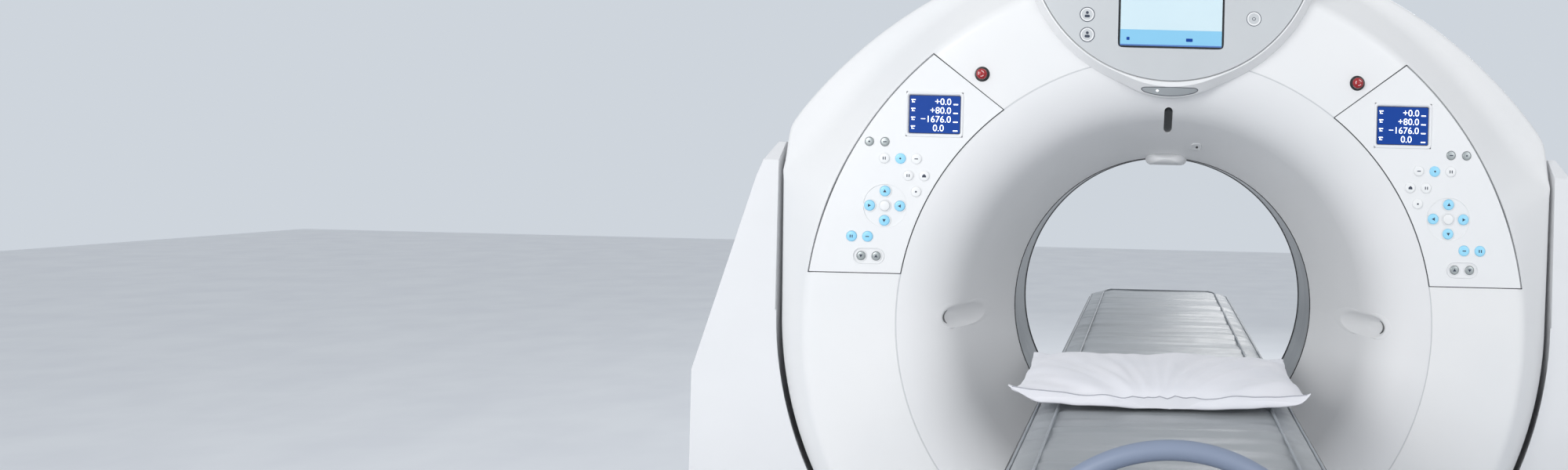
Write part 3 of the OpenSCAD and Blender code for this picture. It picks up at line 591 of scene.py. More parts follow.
def soften(
    points: Sequence[tuple[float, float]], cuts: Sequence[float], steps: int = 4
) -> list[tuple[float, float]]:
    """Rounds the inner corners of an open line.

    Args:
        points: the line's corners.
        cuts: how far from each inner corner its rounding starts.
        steps: parts of each rounding.

    Returns:
        The rounded line, always with the same number of points.
    """
    line = [points[0]]
    for before, corner, after, cut in zip(points, points[1:], points[2:], cuts):
        a, b, c = Vector(before), Vector(corner), Vector(after)
        reach = min(cut, 0.45 * (a - b).length, 0.45 * (c - b).length)
        start = b + (a - b).normalized() * reach
        end = b + (c - b).normalized() * reach
        for k in range(steps + 1):
            t = k / steps
            line.append(tuple(start * (1 - t) ** 2 + b * (2 * t * (1 - t)) + end * t**2))
    line.append(points[-1])
    return line


def curve_at(table: Sequence[tuple[float, float]], at: float) -> float:
    """Reads a smooth value from a table of rising places and values."""
    if at <= table[0][0]:
        return table[0][1]
    for (a, low), (b, high) in zip(table, table[1:]):
        if at <= b:
            t = (at - a) / (b - a)
            return low + (high - low) * t
    return table[-1][1]


def pill(
    x: float, z: float, length: float, width: float, upright: bool = False, steps: int = 14
) -> list[tuple[float, float]]:
    """Gives the outline of a round-ended slot.

    Args:
        x: place across.
        z: height over the axis.
        length: whole length.
        width: width.
        upright: whether it stands.
        steps: parts of each end.

    Returns:
        The outline, in millimetres.
    """
    half, r = (length - width) / 2, width / 2
    line = []
    for side, start in ((1, -90), (-1, 90)):
        for k in range(steps + 1):
            a = math.radians(start + 180 * k / steps)
            line.append((side * half + r * math.cos(a), r * math.sin(a)))
    if upright:
        line = [(-v, u) for u, v in line]
    return [(x + u, z + v) for u, v in line]


def rounded(
    x: float, z: float, width: float, height: float, r: float, steps: int = 6
) -> list[tuple[float, float]]:
    """Gives a rectangle with round corners.

    Args:
        x: middle across.
        z: middle height.
        width: whole width.
        height: whole height.
        r: radius of the corners.
        steps: parts of each corner.

    Returns:
        The outline, in millimetres.
    """
    line = []
    for quarter, (sx, sz) in enumerate(((1, 1), (-1, 1), (-1, -1), (1, -1))):
        for k in range(steps + 1):
            a = math.radians(90 * (quarter + k / steps))
            line.append(
                (x + sx * (width / 2 - r) + r * math.cos(a), z + sz * (height / 2 - r) + r * math.sin(a))
            )
    return line


def reach(
    start: tuple[float, float], way: tuple[float, float], centre: tuple[float, float], r: float
) -> float:
    """Gives how far a ray runs until it leaves a circle.

    Args:
        start: start of the ray, within the circle.
        way: its direction, of length 1.
        centre: centre of the circle.
        r: radius of the circle.

    Returns:
        The distance.
    """
    px, pz = start[0] - centre[0], start[1] - centre[1]
    along = px * way[0] + pz * way[1]
    return -along + math.sqrt(max(along * along - px * px - pz * pz + r * r, 0.0))


@dataclass(frozen=True)
class BodyForm:
    """Outer form of the tilting body, in millimetres from the scan centre."""

    half_depth: float = 449.0
    half_width: float = 926.0
    seam: float = 620.0
    face: float = 835.0
    face_drop: float = 15.0
    ridge_y: float = -350.0
    top_r: float = 1142.0
    top_drop: float = 223.0
    cut: float = 880.0
    bore: float = 390.0
    window_half: float = 109.0
    shell_half: float = 230.0
    lip: float = 151.7
    cone_deg: float = 20.0
    rim_slope: float = 0.354
    ridge_share: float = 0.8
    corner_soft: float = 6.0
    ridge: tuple[tuple[float, float], ...] = (
        (19.6, 983.0), (23.0, 955.0), (29.0, 928.0), (38.0, 913.0), (48.0, 908.0), (90.0, 901.0),
    )
    rim_y: tuple[tuple[float, float], ...] = ((-90.0, -340.0), (0.0, -338.0), (19.6, -351.0))

    def outline(self, angle: float) -> float:
        """Distance from the scan axis to the outline, by angle in radians."""
        s, c = math.sin(angle), abs(math.cos(angle))
        if s < 0:
            return min(self.half_width, self.cut / -s)
        side = self.half_width / max(c, 1e-6)
        top = math.sqrt(self.top_r**2 - (self.top_drop * c) ** 2) - self.top_drop * s
        soft = self.corner_soft
        return min(side, top) - soft * math.exp(-abs(side - top) / (2.5 * soft))

    def face_edge(self, angle: float) -> float:
        """Distance from the scan axis to the edge of the flat face."""
        s, c = math.sin(angle), math.cos(angle)
        return math.sqrt(self.face**2 - (self.face_drop * c) ** 2) - self.face_drop * s

    def bevels(self, angle: float) -> tuple[tuple[float, float], tuple[float, float]]:
        """Gives the ridge and the outer rim in a half plane through the axis.

        Args:
            angle: angle of the half plane, in radians.

        Returns:
            Radius and Y of the ridge, and of the rim.
        """
        degrees = math.degrees(math.asin(max(-1.0, min(1.0, math.sin(angle)))))
        rim = self.outline(angle)
        face = self.face_edge(angle)
        if degrees <= self.ridge[0][0]:
            y = curve_at(self.rim_y, degrees)
            t = self.ridge_share
            return (face + (rim - face) * t, y * t - self.half_depth * (1 - t)), (rim, y)
        ridge = min(curve_at(self.ridge, degrees), rim - 3)
        return (ridge, self.ridge_y), (rim, self.ridge_y + self.rim_slope * (rim - ridge))

    def depth(self, x: float, z: float) -> float:
        """Gives the Y of the front surface at a place on the face."""
        r = math.hypot(x, z)
        if r <= self.seam:
            cone = math.radians(self.cone_deg)
            if r < self.seam - self.lip * math.cos(cone):
                return -self.window_half - (r - self.bore) / math.tan(cone)
            return -self.half_depth + self.lip - math.sqrt(self.lip**2 - (self.seam - r) ** 2)
        angle = math.atan2(z, x)
        face = self.face_edge(angle)
        if r <= face:
            return -self.half_depth
        (ridge, y0), (rim, y1) = self.bevels(angle)
        if r <= ridge:
            return -self.half_depth + (y0 + self.half_depth) * (r - face) / (ridge - face)
        if r <= rim:
            return y0 + (y1 - y0) * (r - ridge) / max(rim - ridge, 1e-6)
        return -250.0

    def lifted(self, x: float, z: float, lift: float) -> Vector:
        """Gives a point at a distance off the front surface.

        Args:
            x: place across, in millimetres.
            z: height over the axis, in millimetres.
            lift: distance outward, in millimetres.

        Returns:
            The point, in metres.
        """
        step = 0.6
        dx = (self.depth(x + step, z) - self.depth(x - step, z)) / (2 * step)
        dz = (self.depth(x, z + step) - self.depth(x, z - step)) / (2 * step)
        n = Vector((dx, -1.0, dz)).normalized() * lift
        return at_axis(x + n.x, self.depth(x, z) + n.y, z + n.z)


@dataclass
class FaceWork:
    """Small parts laid onto the front surface, each from outlines with a lift."""

    form: BodyForm = BodyForm()

    def stack(
        self,
        mesh: Mesh,
        rings: Sequence[tuple[Sequence[tuple[float, float]], float]],
        close: bool = True,
    ) -> None:
        """Adds a part from closed outlines joined one after another.

        Args:
            mesh: the piece that it is added to.
            rings: outlines with their lift, of the same length.
            close: whether the last outline is filled.
        """
        rows = [mesh.row(self.form.lifted(x, z, lift) for x, z in line) for line, lift in rings]
        mesh.join(rows, closed=True)
        if close:
            mesh.bm.faces.new(rows[-1])


@dataclass
class FrontCover:
    """Front cover with soft bevels, and with the openings of the control panels."""

    form: BodyForm = BodyForm()
    panel_tip: tuple[float, float] = (381.7, 488.5)
    panel_corner: tuple[float, float] = (550.0, 617.0)
    panel_low: float = 103.5
    panel_gap: float = 1.0
    spacing_deg: float = 1.3
    panel_rows: int = 13
    seam_gap: float = 1.25
    wall: float = 5.0

    def panel_edges(self, r: float) -> tuple[float, float]:
        """Angles in degrees where the panel's lower and upper edges cross a radius."""
        low = math.degrees(math.asin((self.panel_low - self.panel_gap) / r))
        tip, corner = Vector(self.panel_tip), Vector(self.panel_corner)
        way = (corner - tip).normalized()
        foot = tip + Vector((-way.y, way.x)) * self.panel_gap
        along = -foot.dot(way) + math.sqrt(foot.dot(way) ** 2 - foot.length_squared + r * r)
        at = foot + way * along
        return low, math.degrees(math.atan2(at.y, at.x))

    def columns(self) -> tuple[list[float], int, int]:
        """Gives the angles of the columns on one side, and the panel's first and last one."""
        low, up = self.panel_edges(self.form.face_edge(math.radians(28)) - 3)
        keys = [-90.0, low, 22.5, 28.9, up, 90.0]
        angles: list[float] = []
        marks = []
        for a, b in zip(keys, keys[1:]):
            count = round((b - a) / (self.spacing_deg if a != 22.5 else 0.35))
            angles += [a + (b - a) * k / count for k in range(count)]
            marks.append(len(angles))
        angles.append(90.0)
        return angles, marks[0], marks[3]

    def warped(self, angle: float, r: float, edges: tuple[float, float]) -> float:
        """Turns a column's angle so that the panel's straight edges stay columns.

        Args:
            angle: angle of the column at the face's edge, in degrees.
            r: radius of the point.
            edges: the panel's edges at the face's edge, in degrees.

        Returns:
            The angle at that radius, in degrees.
        """
        here = self.panel_edges(r)
        knots = ((-90.0, -90.0), (edges[0], here[0]), (edges[1], here[1]), (90.0, 90.0))
        for (a, ta), (b, tb) in zip(knots, knots[1:]):
            if angle <= b + 1e-6:
                return ta + (tb - ta) * (angle - a) / (b - a)
        return angle

    def profile(self, angle: float) -> list[tuple[float, float]]:
        """Radius and Y of the cover's section at an angle in radians."""
        form = self.form
        ridge, rim = form.bevels(angle)
        face = form.face_edge(angle)
        seam = form.seam + self.seam_gap
        line = [(seam, -form.half_depth + 7.0), (seam, -form.half_depth)]
        line += [(face, -form.half_depth), ridge, rim, (rim[0], -form.shell_half - 1)]
        soft = soften(line, (1.6, 17.0, 30.0, 13.0), 5)
        band = [(seam + (face - 20 - seam) * k / 4, -form.half_depth) for k in range(1, 4)]
        return soft[:7] + band + soft[7:]

    def build(self) -> None:
        """Builds the cover as one shell."""
        angles, first, last = self.columns()
        edges = (angles[first], angles[last])
        sides = [(a, 1) for a in angles] + [(a, -1) for a in reversed(angles[1:-1])]
        mesh = Mesh("front_cover_shell")
        rows = []
        for degrees, side in sides:
            places = []
            for k, (r, y) in enumerate(self.profile(math.radians(degrees))):
                turn = math.radians(self.warped(degrees, r, edges) if k <= self.panel_rows else degrees)
                places.append(at_axis(side * r * math.cos(turn), y, r * math.sin(turn)))
            rows.append(mesh.row(places))
        for i, row in enumerate(rows):
            after = rows[(i + 1) % len(rows)]
            middle = (sides[i][0] + sides[(i + 1) % len(rows)][0]) / 2
            first_row = self.panel_rows if edges[0] < middle < edges[1] else 0
            mesh.join([row[first_row:], after[first_row:]])
        mesh.piece(
            Body.GANTRY, Finishes.COVER, "cover_white", ["front_cover"],
            thick=self.wall, outward=FRONT,
        )


@dataclass
class SeamGasket:
    """Thin gaskets in the joints between the covers and the rings, and the window's trim."""

    form: BodyForm = BodyForm()
    width: float = 2.6

    def ring(self, name: str, end: int) -> None:
        """Builds a gasket all round, sunk a little in the joint.

        Args:
            name: name of the piece.
            end: -1 at the front and 1 at the rear.
        """
        mesh = Mesh(name)
        r, y, w = self.form.seam, end * self.form.half_depth, self.width
        line = [(-w, 1.4), (-0.6, 0.9), (0.6, 0.9), (w, 1.4), (w, 4.0), (-w, 4.0), (-w, 1.4)]
        mesh.lathe([(r + u, y - end * v) for u, v in line], at_axis(0, 0, 0), steps=180)
        mesh.piece(Body.GANTRY, Finishes.GASKET, "cover_white")

    def build(self) -> None:
        """Builds the front gasket, and the trim at both ends of the window."""
        self.ring("seam_gasket", -1)
        trim = Mesh("window_trim")
        bore, half = self.form.bore, self.form.window_half
        line = [(-0.5, 3), (-1.2, 0), (-0.5, -3), (3, -3), (3, 3), (-0.5, 3)]
        for end in (-1, 1):
            trim.lathe([(bore + u, end * (half + v)) for u, v in line], at_axis(0, 0, 0), steps=180)
        trim.piece(Body.GANTRY, Finishes.BLACK, "black_plastic")


@dataclass
class RearTrim:
    """Small parts on the back: gasket, vent blades and the caps over the screws."""

    form: BodyForm = BodyForm()
    vent_at: tuple[float, float] = (500.0, -560.0)
    vent_pitch: float = 16.0
    vent_rows: int = 8
    blade: float = 142.0
    caps: tuple[float, ...] = (12.0, 47.0, 133.0, 168.0, 197.0, 238.0, 302.0, 343.0)
    caps_r: float = 800.0

    def build(self) -> None:
        """Builds all of them on the rear cover."""
        y = self.form.half_depth
        SeamGasket(self.form).ring("rear_seam_gasket", 1)
        blades = Mesh("rear_vent_blades")
        for side in (-1, 1):
            for row in range(self.vent_rows):
                x, z = side * self.vent_at[0], self.vent_at[1] + row * self.vent_pitch
                section = [(y - 2.5, z - 2.6), (y - 2.5, z - 1.2), (y - 16, z + 8.2), (y - 16, z + 6.8)]
                blades.prism(
                    [at_axis(x - self.blade / 2, v, w) for v, w in section], Vector((self.blade * MM, 0, 0))
                )
        blades.piece(Body.GANTRY, Finishes.HOUSING, "housing_grey", smooth=20)
        caps = Mesh("rear_screw_caps")
        for angle in self.caps:
            a = math.radians(angle)
            at = at_axis(self.caps_r * math.cos(a), y, self.caps_r * math.sin(a))
            caps.lathe([(0, 1.5), (5.6, 1.3), (7.6, 0.7), (8.2, 0.1), (8.2, -2), (0, -2)], at, steps=32)
        caps.piece(Body.GANTRY, Finishes.GASKET, "cover_white", smooth=60)


@dataclass
class DisplayPod:
    """Hood at the top of the face, with its plate, screen and status lamp."""

    form: BodyForm = BodyForm()
    centre_z: float = 890.0
    radius: float = 349.0
    chin_r: float = 200.0
    chin_z: float = 726.0
    rise: float = 14.0
    plate_r: float = 327.5
    screen_z: float = 729.0
    screen: tuple[float, float] = (240.0, 184.0)
    front: float = -481.5
    edge_r: float = 332.5
    edge_share: float = 0.53
    bevel_y: float = 26.0
    lamp_half: float = 64.0
    lamp_round: float = 9.0
    lamp_top: float = 546.5
    lamp_steps: int = 36
    steps: int = 240

    def limit(self, start_z: float, way: tuple[float, float], inset: float) -> float:
        """Gives the distance from a point on the middle line to the arched top's limit."""
        top = self.form.top_r + self.rise - inset
        return reach((0.0, start_z), way, (0.0, -self.form.top_drop), top)

    def outline(self, phi: float) -> float:
        """Gives the hood's free outline from its centre, by angle from straight down."""
        drop = self.centre_z - self.chin_z
        chin = drop * math.cos(phi) + math.sqrt(self.chin_r**2 - (drop * math.sin(phi)) ** 2)
        soft = 2.5
        return max(self.radius, chin) + soft * math.exp(-abs(self.radius - chin) / (2.5 * soft))

    def hood(self) -> None:
        """Builds the hood as one skin from the plate's groove to the body."""
        mesh = Mesh("display_hood")
        rows = []
        for k in range(self.steps):
            phi = math.tau * k / self.steps
            way = (math.sin(phi), -math.cos(phi))
            free, top = self.outline(phi), self.limit(self.centre_z, way, 0.0)
            outer = min(free, top)
            edge = min(self.edge_r + (free - self.radius) * self.edge_share, top - 4)
            groove = min(self.plate_r + 2.2, top - 7.5)
            x, z = way[0] * outer, self.centre_z + way[1] * outer
            back = max(self.form.depth(x, z) + 4, -self.form.half_depth + 4)
            line = [
                (groove - 6, self.front + 6), (groove, self.front + 6), (groove, self.front + 0.7),
                (groove + 0.7, self.front), (edge - 1.2, self.front), (edge + 0.6, self.front + 0.5),
                (edge + 1.6, self.front + 2.4), (outer - 1.8, -455.5), (outer - 0.5, -453.2),
                (outer, -451.0), (outer, back), (outer - 8, back),
            ]
            rows.append(mesh.row(at_axis(way[0] * r, y, self.centre_z + way[1] * r) for r, y in line))
        mesh.join(rows + rows[:1])
        mesh.piece(Body.GANTRY, Finishes.COVER, "cover_white", ["display_pod"])

    def plate(self) -> None:
        """Builds the silver plate with the opening of the screen."""
        mesh = Mesh("display_plate_face")
        rows = []
        half_w, half_h = self.screen[0] / 2 + 0.8, self.screen[1] / 2 + 0.8
        for k in range(self.steps):
            a = math.tau * k / self.steps
            way = (math.cos(a), math.sin(a))
            inner = (abs(way[0] / half_w) ** 26 + abs(way[1] / half_h) ** 26) ** (-1 / 26)
            start = (0.0, self.screen_z)
            outer = reach(start, way, (0.0, self.centre_z), self.plate_r)
            outer = min(outer, self.limit(self.screen_z, way, 10.0))
            y = self.front - 2.4
            line = [
                (inner, y + 7), (inner, y + 0.8), (inner + 0.8, y), (outer - 1.4, y),
                (outer - 0.4, y + 0.4), (outer, y + 1.4), (outer, y + 8),
            ]
            rows.append(mesh.row(at_axis(way[0] * r, v, self.screen_z + way[1] * r) for r, v in line))
        mesh.join(rows + rows[:1])
        mesh.piece(Body.GANTRY, Finishes.SILVER, "silver_plate", ["display_plate"])

    def display(self) -> None:
        """Builds the screen glass and what it shows."""
        y, z = self.front + 1.0, self.screen_z
        width, height = self.screen[0] - 8, self.screen[1] - 8
        low = z - height / 2
        tiles = [rounded(-72 + 72 * k, low + 142, 62, 50, 4.0) for k in range(3)]
        marks = [rounded(-98, low + 16, 7, 7, 1.2), rounded(42, low + 15, 15, 7.5, 1.2)]
        for k in range(3):
            marks += [rounded(-78 + 72 * k, low + 154 - 13 * row, 34, 4, 1.5) for row in range(3)]
        for name, outlines, lift, thick, finish in (
            ("glass", [rounded(0, z, *self.screen, 5.0)], 0.0, 6.0, Finishes.DARK_GLASS),
            ("picture", [rounded(0, z, width, height, 3.0)], 0.3, 1.0, Finishes.PICTURE),
            ("band", [rounded(0, low + 18.5, width, 37, 1.5)], 0.5, 0.6, Finishes.BAND),
            ("low_line", [rounded(0, low + 1.6, width, 3.2, 1.0)], 0.7, 0.6, Finishes.LINE),
            ("tiles", tiles, 0.5, 0.6, Finishes.TILE),
            ("marks", marks, 0.8, 0.5, Finishes.LCD),
        ):
            mesh = Mesh("screen_" + name)
            for outline in outlines:
                mesh.slab(outline, y - lift, thick)
            mesh.piece(Body.GANTRY, finish, "screen", ["touch_screen"] if name == "glass" else [])
    def lamp(self) -> None:
        """Builds the status lamp in its dark rim, low on the hood."""
        for name, grow, lift, finish in (
            ("lamp_rim", 1.7, 0.7, Finishes.RIM), ("lamp_window", 0.0, 1.3, Finishes.LAMP)
        ):
            mesh = Mesh(name)
            rows = []
            straight = self.lamp_half - self.lamp_round + grow * 0.3
            for k in range(self.lamp_steps + 1):
                x = (-1 + 2 * k / self.lamp_steps) * (self.lamp_half + grow)
                over = max(0.0, (abs(x) - straight) / (self.lamp_round + grow))
                low = self.chin_z - math.sqrt(self.chin_r**2 - x * x) + 4.2
                middle = (low + self.lamp_top) / 2
                end = max(math.sqrt(max(0.0, 1 - over**2)), 0.02)
                half = ((self.lamp_top - low) / 2 + grow) * end
                rows.append(mesh.row(
                    self.on_chin(x, middle + half * (1 - 0.5 * n), lift) for n in range(5)
                ))
            mesh.join(rows)
            nodes = ["status_lamp"] if finish is Finishes.LAMP else []
            mesh.piece(
                Body.GANTRY, finish, "lamp", nodes, thick=3.0, outward=FRONT, smooth=60
            )
        bead = Mesh("lamp_bead")
        bead.lathe(
            [(0, -2.2), (2.2, -1.7), (3.6, 0.2), (3.6, 2.0), (0, 2.0)],
            at_axis(-28, self.chin_y(-28, 541) - 1.0, 541), steps=24,
        )
        bead.piece(Body.GANTRY, Finishes.DIGIT, "lamp")

    def chin_y(self, x: float, z: float) -> float:
        """Gives the Y of the hood's bevel at a place on it."""
        phi = math.atan2(x, self.centre_z - z)
        free = self.outline(phi)
        low, high = self.edge_r + 1.6 + (free - self.radius) * self.edge_share, free - 1.8
        t = (math.hypot(x, self.centre_z - z) - low) / (high - low)
        return self.front + 2.4 + max(t, 0.0) * (self.bevel_y - 2.4)

    def on_chin(self, x: float, z: float, lift: float) -> Vector:
        """Gives a point on the bevel of the hood's chin, lifted off it."""
        return at_axis(x, self.chin_y(x, z) - lift, z)

    def badges(self) -> None:
        """Builds the three round touch marks on the plate."""
        y = self.front - 2.4
        for k, (x, z) in enumerate(((-192.0, 709.0), (-191.0, 663.0), (188.0, 708.0))):
            mesh = Mesh(f"touch_mark_{k + 1}")
            mesh.lathe(
                [(12.4, 1.0), (12.4, -0.3), (13.0, -0.6), (14.6, -0.6), (15.4, -0.3), (15.4, 1.0)],
                at_axis(x, y, z), steps=48,
            )
            mesh.piece(Body.GANTRY, Finishes.WHITE_KEY, "key_white")
            lines = Mesh(f"touch_mark_line_{k + 1}")
            r, half = 16.3, 0.5 if k == 2 else 0.8
            rings = [(r - half, r + half, 48)] + ([(3.0, 4.0, 32)] if k == 2 else [])
            for inner, outer, steps in rings:
                line = [(inner, 1.0), (inner, -0.5), (outer, -0.5), (outer, 1.0)]
                lines.lathe(line, at_axis(x, y, z), steps=steps)
            if k < 2:
                lines.slab(rounded(x, z + 4.2, 6.5, 6.5, 3.1), y - 0.4, 1.2)
                lines.slab(rounded(x, z - 3.6, 12, 6, 2.8), y - 0.4, 1.2)
            lines.piece(Body.GANTRY, Finishes.INK, "black_plastic")

    def build(self) -> None:
        """Builds the whole hood."""
        self.hood()
        self.plate()
        self.display()
        self.lamp()
        self.badges()


@dataclass
class LightWindows:
    """Windows of the positioning lights and the sensor housing in the opening."""

    form: BodyForm = BodyForm()
    cup_x: float = 483.0
    dish_depth: float = 15.0
    dish: tuple[float, float] = (73.0, 50.0)
    dish_z: float = -2.0
    dish_shift: float = 15.0
    shrink: tuple[float, float] = (0.86, 0.8)
    dish_turn: float = 0.225
    dish_rim: float = -1.4
    slit_lift: float = 0.9
    slot_z: float = 478.5

    def cups(self) -> None:
        """Builds the two shallow side cups with their dark slits."""
        work = FaceWork(self.form)
        for side, name in ((-1, "left"), (1, "right")):
            x = side * self.cup_x
            dish = Mesh(f"{name}_light_cup")
            rings = [
                (pill(x, 0, 100, 63), -0.6), (pill(x, 0, 98, 61), 0.5), (pill(x, 0, 80, 57), 0.5),
                (pill(x, self.dish_z, 76, 53), 0.2),
            ]
            rings += [(self.dish_line(x, side, k / 7), self.sunk(k)) for k in range(7)]
            work.stack(dish, rings)
            dish.piece(Body.GANTRY, Finishes.BORE, "cover_white", ["laser_windows"], smooth=50)
            slit = Mesh(f"{name}_light_slit")
            rows = []
            for k in range(13):
                a = -0.95 + 1.9 * k / 12
                places = []
                for n in range(4):
                    t = 0.33 + (n / 3 - 0.5) * 0.42 * math.cos(a * 1.6)
                    mid = x + side * self.dish_shift * t
                    half_w, half_h = (s / 2 * (1 - c * t) for s, c in zip(self.dish, self.shrink))
                    u = mid + side * (half_w - half_h + half_h * math.cos(a))
                    z = self.dish_z + half_h * math.sin(a)
                    places.append(self.form.lifted(u, z, self.sunk(7 * t) + self.slit_lift))
                rows.append(slit.row(places))
            slit.join(rows)
            slit.piece(
                Body.GANTRY, Finishes.BLACK, "black_plastic", thick=2.0, outward=FRONT, smooth=60
            )

    def sunk(self, k: float) -> float:
        """Gives the dish's lift at a place counted from 0 at its rim to 7 at its deepest."""
        return self.dish_rim - self.dish_depth * math.sin(self.dish_turn * k)

    def dish_line(self, x: float, side: int, t: float) -> list[tuple[float, float]]:
        """Gives an outline of the dish, from its rim at 0 to its deepest place at 1."""
        width, height = (s * (1 - c * t) for s, c in zip(self.dish, self.shrink))
        return pill(x + side * self.dish_shift * t, self.dish_z, width, height)

    def slot(self) -> None:
        """Builds the upright slot over the opening."""
        work = FaceWork(self.form)
        slot_rim = Mesh("light_slot_rim")
        z = self.slot_z
        widths = ((62, 25, -0.5), (61, 24, 0.7), (58.4, 21.4, 0.7), (57, 20, -3.0))
        work.stack(slot_rim, [(pill(0, z, a, b, True), lift) for a, b, lift in widths], close=False)
        slot_rim.piece(Body.GANTRY, Finishes.BORE, "cover_white", smooth=60)
        glass = Mesh("light_slot_glass")
        widths = ((58.5, 21.5, -6.0), (58.5, 21.5, -2.4), (50, 14, -1.8), (42, 6, -1.6))
        work.stack(glass, [(pill(0, z, a, b, True), lift) for a, b, lift in widths])
        glass.piece(Body.GANTRY, Finishes.DARK_GLASS, "black_plastic", ["laser_windows"])

    def sensor(self) -> None:
        """Builds the lens-shaped housing at the top of the opening, and the dimple near it."""
        housing = Mesh("sensor_lens")
        rows = []
        for k in range(9):
            a = math.radians(90 * k / 8)
            line = pill(0, 387, 109 * math.cos(a) ** 0.8 + 0.4, 32 * math.cos(a) + 0.3)
            rows.append(housing.row(at_axis(x, -111 - 41 * math.sin(a) ** 1.2, z) for x, z in line))
        housing.join(rows, closed=True)
        housing.bm.faces.new(rows[-1])
        housing.piece(Body.GANTRY, Finishes.BORE, "cover_white", ["bore_sensor_housing"], smooth=60)
        work = FaceWork(self.form)
        dimple = Mesh("sensor_dimple")
        widths = ((29, 18, -0.6), (26, 16, 2.0), (20, 11, 1.2), (10, 5, 0.2))
        work.stack(dimple, [(pill(75, 419, a, b), lift) for a, b, lift in widths])
        dimple.piece(Body.GANTRY, Finishes.BORE, "cover_white", smooth=60)
        hole = Mesh("sensor_hole")
        widths = ((6, 5, -0.8), (6, 5, 0.9), (3, 2, 0.8))
        work.stack(hole, [(pill(77, 418, a, b), lift) for a, b, lift in widths])
        hole.piece(Body.GANTRY, Finishes.BLACK, "black_plastic")

    def build(self) -> None:
        """Builds all windows and the housing."""
        self.cups()
        self.slot()
        self.sensor()


class KeyKind(Enum):
    """What a key of the control panel looks like."""

    BLUE = "blue"
    WHITE = "white"
    GREY = "grey"


class Glyph(Enum):
    """Generic mark on a key."""

    UP = "up"
    DOWN = "down"
    LEFT = "left"
    RIGHT = "right"
    BAR = "bar"
    DOT = "dot"
    TWIN = "twin"
    HOUSE = "house"
    BLANK = "blank"


@dataclass(frozen=True)
class Key:
    """One round key of the control panel."""

    x: float
    z: float
    kind: KeyKind
    glyph: Glyph
    node: str = ""

    @property
    def radius(self) -> float:
        """Gives the key's radius."""
        return 10.5 if self.kind is KeyKind.GREY else 12.25

    @property
    def rise(self) -> float:
        """Gives how far the key stands out of the panel."""
        return 2.0 if self.kind is KeyKind.GREY else 3.4


